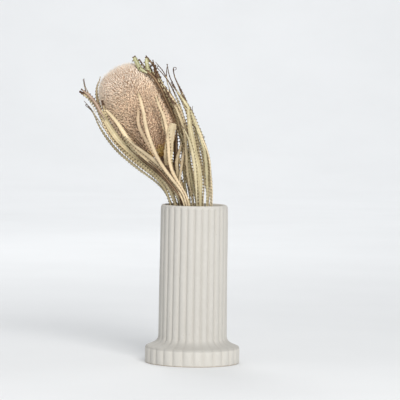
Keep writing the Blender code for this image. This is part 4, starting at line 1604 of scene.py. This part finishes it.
# Single leaves: name, slot, greatest width, facing, tries, tip, then the path, and what differs
# from the rule.
LEAVES = (
    Leaf("leaf_left_strand_1", Slot.KHAKI, 3.2, -60, 0, Tip.HOOKED, (
        (-28, -2, 200), (-44, -8, 224), (-69, -14, 243), (-95, -16, 264), (-115, -15, 287),
        (-124, -13, 303), (-131, -12, 318), (-144, -12, 326))),
    Leaf("leaf_left_strand_2", Slot.CREAM, 3.0, -60, 0, Tip.STRAIGHT, (
        (-29, 7, 200), (-43, 5, 227), (-68, 0, 246), (-93, -2, 267), (-112, -1, 290),
        (-121, 0, 310), (-129, 1, 330), (-141, 2, 344), (-142, 3, 357))),
    Leaf("leaf_cradle_1", Slot.KHAKI, 9.5, -85, 0, Tip.BENT, (
        (-24, -14, 200), (-35, -21, 226), (-56, -28, 249), (-79, -31, 265), (-99, -31, 284),
        (-113, -28, 305), (-127, -25, 328), (-147, -24, 342)), blunt=0.3, dried=0.9, dry_from=0.90),
    Leaf("leaf_cradle_2", Slot.KHAKI, 8.5, -80, 562, Tip.STRAIGHT, (
        (-28, -9, 200), (-40, -14, 227), (-62, -20, 248), (-85, -23, 266), (-104, -23, 288),
        (-112, -21, 308), (-119, -19, 330)), blunt=0.4, dried=0.75, dry_from=0.78, skin=Slot.OLIVE),
    Leaf("leaf_cradle_3", Slot.OLIVE, 6.5, -70, 147, Tip.BENT_BACK, (
        (-25, 20, 200), (-41, 26, 231), (-63, 28, 256), (-89, 25, 276), (-112, 20, 300),
        (-124, 16, 325), (-127, 15, 347), (-120, 14, 360)), dried=0.25),
    Leaf("leaf_pale_front_1", Slot.CREAM, 7.2, -92, 0, Tip.BENT, (
        (-12, -31, 200), (-18, -34, 214), (-31, -38, 235), (-51, -41, 252), (-70, -43, 267),
        (-85, -42, 284), (-99, -39, 305), (-112, -35, 319)), blunt=0.45, dried=0.25),
    Leaf("leaf_pale_front_2", Slot.CREAM, 6.6, -96, 462, Tip.STRAIGHT, (
        (-19, -24, 200), (-29, -30, 221), (-46, -36, 242), (-65, -39, 257), (-82, -40, 273),
        (-94, -38, 291), (-101, -36, 303)), blunt=0.45, dried=0.2),
    Leaf("leaf_over_head_1", Slot.CREAM, 6.4, -98, 270, Tip.BENT, (
        (-18, -15, 200), (-28, -23, 227), (-42, -33, 250), (-57, -38, 273), (-69, -40, 294),
        (-73, -41, 308), (-71, -41, 321)), blunt=0.62, dried=0.1, skin=Skin.ROSY, widest=0.85),
    Leaf("leaf_over_head_2", Slot.CREAM, 7.4, -88, 860, Tip.BENT, (
        (-12, -20, 200), (-25, -28, 227), (-43, -36, 252), (-54, -39, 276), (-61, -41, 299),
        (-63, -42, 318), (-68, -41, 341)), blunt=0.62, dried=0.1, skin=Skin.ROSY, widest=0.85),
    Leaf("leaf_over_head_3", Slot.CREAM, 6.2, -80, 454, Tip.STRAIGHT, (
        (-8, -26, 200), (-21, -31, 226), (-33, -34, 250), (-35, -36, 278), (-38, -37, 300),
        (-45, -36, 322), (-52, -34, 336)), blunt=0.62, dried=0.1, skin=Skin.ROSY, widest=0.85),
    Leaf("leaf_over_head_4", Slot.KHAKI, 5.4, -75, 87, Tip.BENT, (
        (-6, -17, 200), (-20, -22, 226), (-31, -26, 248), (-30, -30, 272), (-33, -31, 290),
        (-39, -31, 305)), blunt=0.45, dried=0.2),
    Leaf("leaf_crossing_1", Slot.CREAM, 5.0, -70, 849, Tip.BENT, (
        (-22, -7, 200), (-22, -12, 227), (-18, -17, 256), (-13, -20, 285), (-16, -20, 308),
        (-25, -18, 328), (-36, -16, 346)), crinkle=1.6),
    Leaf("leaf_crossing_2", Slot.KHAKI, 5.0, -110, 113, Tip.STRAIGHT, (
        (-9, -3, 200), (-20, -6, 232), (-23, -8, 255), (-19, -9, 270), (-16, -8, 290)),
        crinkle=1.6),
    Leaf("leaf_head_side_1", Slot.BROWN, 8.0, -25, 19, Tip.HOOKED, (
        (-5, 9, 200), (-13, 4, 240), (-16, 0, 276), (-22, -2, 303), (-33, -2, 329),
        (-47, -1, 351), (-58, 0, 366), (-63, 1, 379)), blunt=0.3, crinkle=3.6, skin=Slot.KHAKI,
        dry_from=0.60, dried=1.0),
    Leaf("leaf_head_side_2", Slot.OLIVE, 7.0, -50, 350, Tip.HOOKED, (
        (-8, 16, 200), (-14, 15, 240), (-17, 13, 280), (-25, 13, 312), (-38, 13, 340),
        (-52, 13, 361), (-63, 12, 371), (-65, 11, 386)), blunt=0.25, crinkle=3.2),
    Leaf("leaf_head_side_3", Slot.KHAKI, 6.5, -75, 449, Tip.HOOKED_BACK, (
        (-12, 22, 200), (-15, 24, 240), (-18, 24, 280), (-28, 24, 314), (-41, 24, 342),
        (-56, 22, 366), (-69, 19, 373), (-75, 17, 386)), blunt=0.25, crinkle=2.6),
    Leaf("leaf_head_side_4", Slot.BROWN, 6.0, -40, 659, Tip.BENT, (
        (-2, 3, 200), (-9, -4, 240), (-11, -7, 276), (-16, -8, 304), (-26, -8, 326),
        (-37, -7, 345), (-48, -6, 361)), crinkle=3.6, skin=Slot.OLIVE, dry_from=0.62, dried=1.0),
    Leaf("leaf_tall_tip_1", Slot.OLIVE, 3.4, -60, 581, Tip.HOOKED, (
        (1, 12, 200), (-4, 9, 245), (-8, 8, 285), (-17, 7, 318), (-29, 6, 346),
        (-40, 6, 362), (-54, 7, 377)), dry_from=0.6, dried=0.8, crinkle=1.8),
    Leaf("leaf_tall_tip_2", Slot.KHAKI, 3.2, -70, 0, Tip.BENT_BACK, (
        (5, 16, 200), (2, 15, 250), (-4, 17, 292), (-15, 17, 325), (-29, 16, 350),
        (-36, 16, 362), (-37, 16, 378)), dry_from=0.58, dried=0.8, crinkle=1.8),
    Leaf("leaf_tall_tip_3", Slot.KHAKI, 3.6, -80, 120, Tip.CURLED, (
        (9, 12, 200), (7, 9, 245), (1, 8, 288), (-9, 8, 321), (-20, 8, 345),
        (-29, 9, 362), (-31, 9, 379)), dry_from=0.58, dried=0.8, crinkle=1.8),
    Leaf("leaf_outer_edge", Slot.OLIVE, 6.0, -65, 534, Tip.BENT, (
        (14, 5, 200), (14, 0, 232), (12, -3, 262), (6, -4, 285), (-3, -5, 309),
        (-15, -5, 331), (-34, -4, 354))),
    Leaf("leaf_blunt_broad", Slot.KHAKI, 11.0, -88, 320, Tip.STRAIGHT, (
        (8, -20, 200), (8, -25, 227), (4, -28, 250), (-1, -29, 271), (-5, -30, 293),
        (-9, -29, 321)), blunt=0.5, dried=0.4),
    Leaf("leaf_right_strand", Slot.CREAM, 3.0, -50, 666, Tip.BENT, (
        (18, -3, 200), (19, -6, 231), (17, -8, 262), (11, -8, 277), (5, -7, 293),
        (0, -6, 308), (-6, -5, 325))),
)

# Fans: name, slots, width, facing, bow, tries and tips of their leaves, then the first path and
# the last.
FANS = (
    Fan("leaf_upright", (Slot.CREAM, Slot.KHAKI), 6.2, -85, 0, (1037, 1134), (Tip.BENT,),
        ((0, -31, 200), (-1, -35, 230), (-4, -37, 262), (-10, -36, 292), (-19, -33, 322)),
        ((17, -13, 200), (17, -17, 232), (13, -19, 262), (7, -19, 288), (-1, -18, 308))),
    Fan("leaf_inner", (Slot.OLIVE, Slot.KHAKI), 5.0, -75, 0, (555, 1216, 1262, 1355),
        (Tip.BENT, Tip.STRAIGHT),
        ((2, -9, 200), (-5, -13, 232), (-10, -15, 262), (-15, -15, 288), (-22, -14, 312)),
        ((18, 2, 200), (18, -2, 232), (14, -5, 262), (9, -5, 290), (1, -5, 316))),
    Fan("leaf_behind", (Slot.BROWN, Slot.OLIVE), 6.5, -80, 0, (0, 617), (Tip.BENT,),
        ((-20, 14, 200), (-27, 22, 235), (-26, 31, 265), (-28, 42, 295), (-38, 49, 322)),
        ((-3, 22, 200), (-11, 28, 235), (-14, 32, 265), (-20, 35, 300), (-32, 37, 330))),
    Fan("leaf_back", (Slot.KHAKI, Slot.CREAM, Slot.OLIVE), 6.8, 80, 8,
        (549, 949, 207, 1269, 1183, 1254, 1319), (Tip.BENT_BACK, Tip.HOOKED_BACK),
        ((-24, 25, 200), (-42, 44, 232), (-65, 60, 262), (-87, 68, 292), (-105, 69, 322)),
        ((21, 20, 200), (20, 33, 235), (15, 44, 270), (5, 51, 305), (-10, 54, 334))),
)

# Leaves that the photograph shows and that have no solid.
FILLERS = (
    Leaf("blade_fill_1", Slot.OLIVE, 3.6, -70, 0, Tip.BENT, (
        (-13, 8, 201), (-18, 8, 224), (-22, 6, 249), (-24, 5, 275), (-24, 4, 296), (-28, 4, 316)),
        crinkle=2.0, skin=Slot.BROWN),
    Leaf("blade_fill_2", Slot.KHAKI, 5.0, -60, 0, Tip.HOOKED, (
        (-6, 3, 202), (-6, 3, 231), (-10, 2, 259), (-14, 0, 284), (-17, -1, 309), (-25, -1, 332)),
        crinkle=2.0),
    Leaf("blade_fill_3", Slot.CREAM, 3.4, -100, 0, Tip.BENT, (
        (2, -18, 203), (2, -20, 229), (0, -22, 257), (-5, -22, 285), (-10, -21, 305))),
    Leaf("blade_fill_4", Slot.KHAKI, 3.2, -45, 0, Tip.BENT, (
        (11, 2, 202), (12, 0, 229), (10, -2, 257), (4, -3, 282), (-3, -4, 302))),
    Leaf("blade_fill_5", Slot.OLIVE, 4.5, -80, 0, Tip.BENT, (
        (-18, -12, 202), (-25, -16, 223), (-29, -18, 244), (-33, -20, 259), (-37, -21, 270)),
        crinkle=1.6, skin=Slot.BROWN),
    Leaf("blade_fill_6", Slot.KHAKI, 3.8, -80, 0, Tip.BENT, (
        (-2, 14, 201), (-4, 16, 230), (-9, 16, 258), (-17, 16, 286), (-25, 16, 311)), crinkle=2.4),
    Leaf("blade_rosy", Slot.CREAM, 4.6, -95, 0, Tip.BENT, (
        (-10, -28, 203), (-20, -38, 220), (-30, -43, 237), (-44, -45, 251), (-57, -46, 262),
        (-74, -46, 273), (-89, -45, 287)), skin=Skin.ROSY, dried=0.3, blunt=0.4),
    Leaf("blade_far_right", Slot.CREAM, 1.6, -60, 0, Tip.HOOKED, (
        (18, -2, 205), (20, -3, 228), (18, -4, 250), (16, -4, 266), (12, -4, 280), (5, -4, 290))),
)

# Thin strips, threads, scraps and shrivelled tips, which have no solid either.
STRIPS = (
    Strip("blade_pale_tip_1", Slot.CREAM, 6.6, -100, 0, Tip.STRAIGHT, (
        (-62, -15, 365), (-66, -14, 368), (-70, -13, 370), (-74, -9, 376), (-76, -5, 381),
        (-73, -2, 385)),
        blunt=0.5, dried=0.8, crinkle=4.0, skin=Skin.GREEN, dry_from=0.84, fade=0.2),
    Strip("blade_pale_tip_2", Slot.CREAM, 5.4, -80, 0, Tip.STRAIGHT, (
        (-56, -8, 362), (-59, -8, 366), (-62, -7, 373), (-62, -5, 380), (-57, -3, 382)),
        blunt=0.4, dried=0.8, crinkle=4.0, skin=Skin.GREEN, dry_from=0.80, fade=0.2),
    Strip("blade_brown_side_1", Slot.BROWN, 5.4, -95, 0, Tip.STRAIGHT, (
        (-24, -8, 299), (-30, -11, 316), (-36, -11, 328), (-43, -11, 343), (-50, -11, 355),
        (-56, -12, 363), (-64, -12, 368), (-72, -9, 371)), blunt=0.4, crinkle=5.0),
    Strip("blade_brown_side_2", Slot.OLIVE, 4.4, -70, 0, Tip.STRAIGHT, (
        (-27, -6, 318), (-31, -6, 326), (-35, -6, 335), (-41, -6, 347), (-48, -6, 358),
        (-52, -5, 366), (-54, -3, 374), (-59, -1, 380)),
        blunt=0.3, crinkle=5.0, dry_from=0.5, dried=0.9),
    Strip("blade_blunt_scrap", Slot.CREAM, 10.5, -82, 0, Tip.STRAIGHT, (
        (-36, -27, 250), (-35, -33, 262), (-33, -37, 276), (-31, -38, 289), (-28, -37, 303)),
        blunt=0.8, dried=0.0, crinkle=2.0, skin=Skin.ROSY, toothed=0.0, fade=0.10),
    # The next three dark brown strips are painted shade between the crossing leaves at the lower
    # left.
    Strip("blade_dark_front", Slot.BROWN, 3.2, -90, 0, Tip.STRAIGHT, (
        (-22, -25, 222), (-40, -33, 246), (-52, -35, 257), (-67, -36, 273), (-80, -36, 287),
        (-92, -35, 301)), blunt=0.3, crinkle=3.0),
    Strip("blade_dark_low", Slot.BROWN, 3.4, -92, 0, Tip.STRAIGHT, (
        (-13, -29, 204), (-23, -37, 218), (-34, -41, 232), (-46, -43, 245), (-58, -44, 256)),
        blunt=0.3, crinkle=3.0),
    Strip("blade_dark_left", Slot.BROWN, 2.8, -88, 0, Tip.STRAIGHT, (
        (-25, -24, 214), (-36, -29, 230), (-52, -33, 246), (-70, -34, 260), (-86, -34, 275)),
        blunt=0.3, crinkle=3.0),
    Strip("blade_foot_scrap", Slot.BROWN, 10.0, -90, 0, Tip.STRAIGHT, (
        (-27, 8, 234), (-32, 9, 245), (-37, 10, 256), (-42, 11, 270)), blunt=0.6, crinkle=3.0),
    Strip("blade_khaki_side", Slot.KHAKI, 4.6, -80, 0, Tip.BENT, (
        (-12, -10, 292), (-19, -11, 311), (-27, -12, 328), (-35, -12, 341), (-39, -11, 350)),
        crinkle=2.4),
    Strip("blade_front_small", Slot.CREAM, 4.6, -85, 0, Tip.STRAIGHT, (
        (-34, -36, 281), (-40, -37, 299), (-43, -38, 316), (-47, -38, 328), (-50, -37, 335)),
        blunt=0.5, dried=0.1, skin=Skin.ROSY),
    Strip("blade_brown_hook", Slot.BROWN, 4.2, -40, 0, Tip.STRAIGHT, (
        (-39, 2, 346), (-46, 1, 358), (-50, 0, 366), (-53, 0, 373), (-58, 0, 379), (-62, 1, 383),
        (-66, 3, 385)), crinkle=3.0),
    Strip("blade_thread_1", Slot.OLIVE, 1.5, -60, 0, Tip.STRAIGHT, (
        (-30, 6, 347), (-37, 6, 358), (-44, 6, 370), (-53, 7, 378)), dry_from=0.3, dried=0.8),
    Strip("blade_thread_2", Slot.OLIVE, 1.7, -60, 0, Tip.STRAIGHT, (
        (-32, 17, 341), (-37, 17, 354), (-38, 17, 364), (-37, 16, 377)), dry_from=0.3, dried=0.8),
    Strip("blade_curl", Slot.KHAKI, 1.8, 0, 0, Tip.CURLED, (
        (-15, 8, 330), (-19, 8, 339), (-23, 8, 349), (-27, 8, 360), (-30, 7, 370), (-33, 6, 380)),
        crinkle=1.5, dry_from=0.5, dried=0.8),
    Strip("blade_prong", Slot.OLIVE, 1.7, -60, 0, Tip.STRAIGHT, (
        (2, -4, 302), (-2, -4, 311), (-5, -4, 318), (-6, -4, 324)), dry_from=0.3, dried=0.7),
    Strip("blade_left_thread", Slot.CREAM, 1.2, -80, 0, Tip.STRAIGHT, (
        (-126, -4, 314), (-135, -3, 331), (-140, -2, 344), (-142, 0, 356)), dry_from=0.4,
        dried=0.7),
    Strip("blade_mauve_tip", Slot.KHAKI, 4.0, -85, 0, Tip.STRAIGHT, (
        (-113, -31, 306), (-119, -31, 315), (-123, -30, 323), (-129, -28, 331), (-136, -26, 338),
        (-145, -24, 342)), blunt=0.4, crinkle=2.4, dried=0.75, dry_from=0.86, skin=Skin.MAUVE),
    Strip("blade_left_curl", Slot.KHAKI, 1.7, -80, 0, Tip.STRAIGHT, (
        (-115, -14, 294), (-123, -14, 306), (-130, -13, 316), (-135, -12, 322), (-139, -12, 323),
        (-143, -12, 325)), dry_from=0.45, dried=0.7),
)


@dataclass
class LeafBunch:
    """All the leaves round the stem."""

    maker: BladeMaker = field(default_factory=BladeMaker)

    @staticmethod
    def finishes() -> dict[Slot | Skin, bpy.types.Material]:
        """Builds one leaf skin for each leaf slot and each skin besides.

        Returns:
            The materials, by what chooses them.
        """
        looks = {
            Slot.CREAM: ((0.77, 0.685, 0.495), (0.62, 0.535, 0.365), (0.84, 0.765, 0.58)),
            Slot.KHAKI: ((0.76, 0.675, 0.465), (0.60, 0.52, 0.34), (0.86, 0.785, 0.59)),
            Slot.OLIVE: ((0.71, 0.645, 0.45), (0.56, 0.495, 0.32), (0.81, 0.74, 0.55)),
            Slot.BROWN: ((0.165, 0.105, 0.062), (0.062, 0.036, 0.02), (0.36, 0.26, 0.165)),
            Skin.GREEN: ((0.58, 0.62, 0.40), (0.36, 0.39, 0.20), (0.80, 0.82, 0.64)),
            Skin.ROSY: ((0.67, 0.56, 0.41), (0.57, 0.465, 0.33), (0.72, 0.62, 0.465)),
            Skin.MAUVE: ((0.48, 0.38, 0.31), (0.30, 0.21, 0.165), (0.66, 0.55, 0.46)),
        }
        return {
            look: LeafFinish(look.value, *colours).material() for look, colours in looks.items()
        }

    def hand_in(self, stem: Stem) -> None:
        """Builds and dresses every leaf.

        Args:
            stem: The stem that they grow from.
        """
        skins = self.finishes()
        draw = random.Random(SEED)
        fanned = [leaf for fan in FANS for leaf in fan.leaves(draw)]
        for index, leaf in enumerate((*LEAVES, *fanned, *FILLERS, *STRIPS)):
            leaf.index = index
            leaf.settle(stem)
            nodes = [leaf.name] if leaf.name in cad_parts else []
            hand_in(self.maker.build(leaf), skins[leaf.skin or leaf.slot], nodes)


@dataclass(frozen=True)
class Lamp:
    """A soft square light: place, target and side in metres, power in watts, and colour."""

    name: str
    place: Point
    target: Point
    size: float
    power: float
    colour: Colour

    def build(self) -> None:
        """Hangs the light and aims it."""
        data = bpy.data.lights.new(self.name, "AREA")
        data.size = self.size
        data.energy = self.power
        data.color = self.colour
        light = bpy.data.objects.new(self.name, data)
        bpy.context.scene.collection.objects.link(light)
        light.location = self.place
        aim = Vector(self.target) - Vector(self.place)
        light.rotation_euler = aim.to_track_quat("-Z", "Y").to_euler()


FLOWERS = (0.0, 0.0, 0.2)
LAMPS = (
    Lamp("key", (0.68, -2.3, 1.62), FLOWERS, 1.2, 58.0, (1.0, 0.985, 0.96)),
    Lamp("fill", (-1.7, -1.5, 1.0), FLOWERS, 1.6, 2.0, (0.95, 0.97, 1.0)),
    Lamp("back", (-0.6, 1.9, 1.6), FLOWERS, 1.2, 12.0, (1.0, 1.0, 1.0)),
    Lamp("wash", (0.0, 3.4, 3.0), (0.0, 5.4, 0.0), 2.4, 60.0, (1.0, 1.0, 1.0)),
)


@dataclass
class Studio:
    """The pale floor, the soft lights and the camera at the photograph's angle."""

    eye: Point = (0.0, -3.244, 0.3771)
    aim: Point = (0.00696, 0.0, 0.20585)
    roll: float = 0.016135
    lens: float = 231.39
    sky: Colour = (0.50, 0.51, 0.52)
    floor_colour: Colour = (0.80, 0.81, 0.82)
    floor_middle: float = -0.75
    floor_width: float = 13.0
    floor_depth: float = 14.5
    wall_height: float = 5.0
    sweep: float = 2.4

    def build(self) -> None:
        """Sets the stage."""
        self.build_floor()
        self.build_sky()
        self.build_camera()
        for lamp in LAMPS:
            lamp.build()
        bpy.context.scene.view_settings.view_transform = "Standard"

    def build_floor(self) -> None:
        """Lays a pale floor that sweeps up behind the vase without an edge."""
        deselect_all()
        bpy.ops.mesh.primitive_plane_add(size=1.0, location=(0.0, self.floor_middle, 0.0))
        floor = bpy.context.object
        floor.name = "pale_floor"
        bpy.ops.object.mode_set(mode="EDIT")
        bpy.ops.transform.resize(value=(self.floor_width, self.floor_depth, 1.0))
        bpy.ops.object.mode_set(mode="OBJECT")
        bpy.ops.object.transform_apply(location=True, rotation=False, scale=False)
        select_edges(floor, lambda start, end: min(start.y, end.y) > 2.0)
        bpy.ops.mesh.extrude_region_move(
            TRANSFORM_OT_translate={"value": (0.0, 0.0, self.wall_height)}
        )
        bpy.ops.object.mode_set(mode="OBJECT")
        select_edges(
            floor, lambda start, end: min(start.y, end.y) > 2.0 and max(start.z, end.z) < 0.1
        )
        bpy.ops.mesh.bevel(offset=self.sweep, segments=32, affect="EDGES")
        bpy.ops.object.mode_set(mode="OBJECT")
        floor.data.shade_smooth()
        made, shading, place = new_finish("floor_paint")
        light = shading.span(shading.noise(place, 3.0, 4.0), 0.3, 0.7, 0.985, 1.01)
        colour = shading.dim(self.floor_colour, light)
        shading.dress({"Base Color": colour, "Roughness": 0.75, "Specular IOR Level": 0.1})
        floor.data.materials.append(made)

    def build_sky(self) -> None:
        """Surrounds the stage with even pale light."""
        world = bpy.data.worlds.new("soft_room")
        world.use_nodes = True
        background = world.node_tree.nodes["Background"]
        background.inputs["Color"].default_value = (*self.sky, 1.0)
        background.inputs["Strength"].default_value = 1.0
        bpy.context.scene.world = world

    def build_camera(self) -> None:
        """Places the camera where the photograph was taken from."""
        data = bpy.data.cameras.new("front_camera")
        data.sensor_width = 36.0
        data.lens = self.lens
        camera = bpy.data.objects.new("front_camera", data)
        bpy.context.scene.collection.objects.link(camera)
        look = (Vector(self.aim) - Vector(self.eye)).to_track_quat("-Z", "Y").to_matrix().to_4x4()
        tilt = Matrix.Rotation(self.roll, 4, "Z")
        camera.matrix_world = Matrix.Translation(self.eye) @ look @ tilt
        bpy.context.scene.camera = camera


def main() -> None:
    """Builds every piece in order."""
    logging.basicConfig(level=logging.INFO, format="%(message)s")
    Studio().build()
    Vase().hand_in()
    stem = Stem()
    stem.hand_in()
    head = FlowerHead()
    head.hand_in()
    BractRing().hand_in(head)
    LeafBunch().hand_in(stem)


if __name__ == "__main__":
    main()
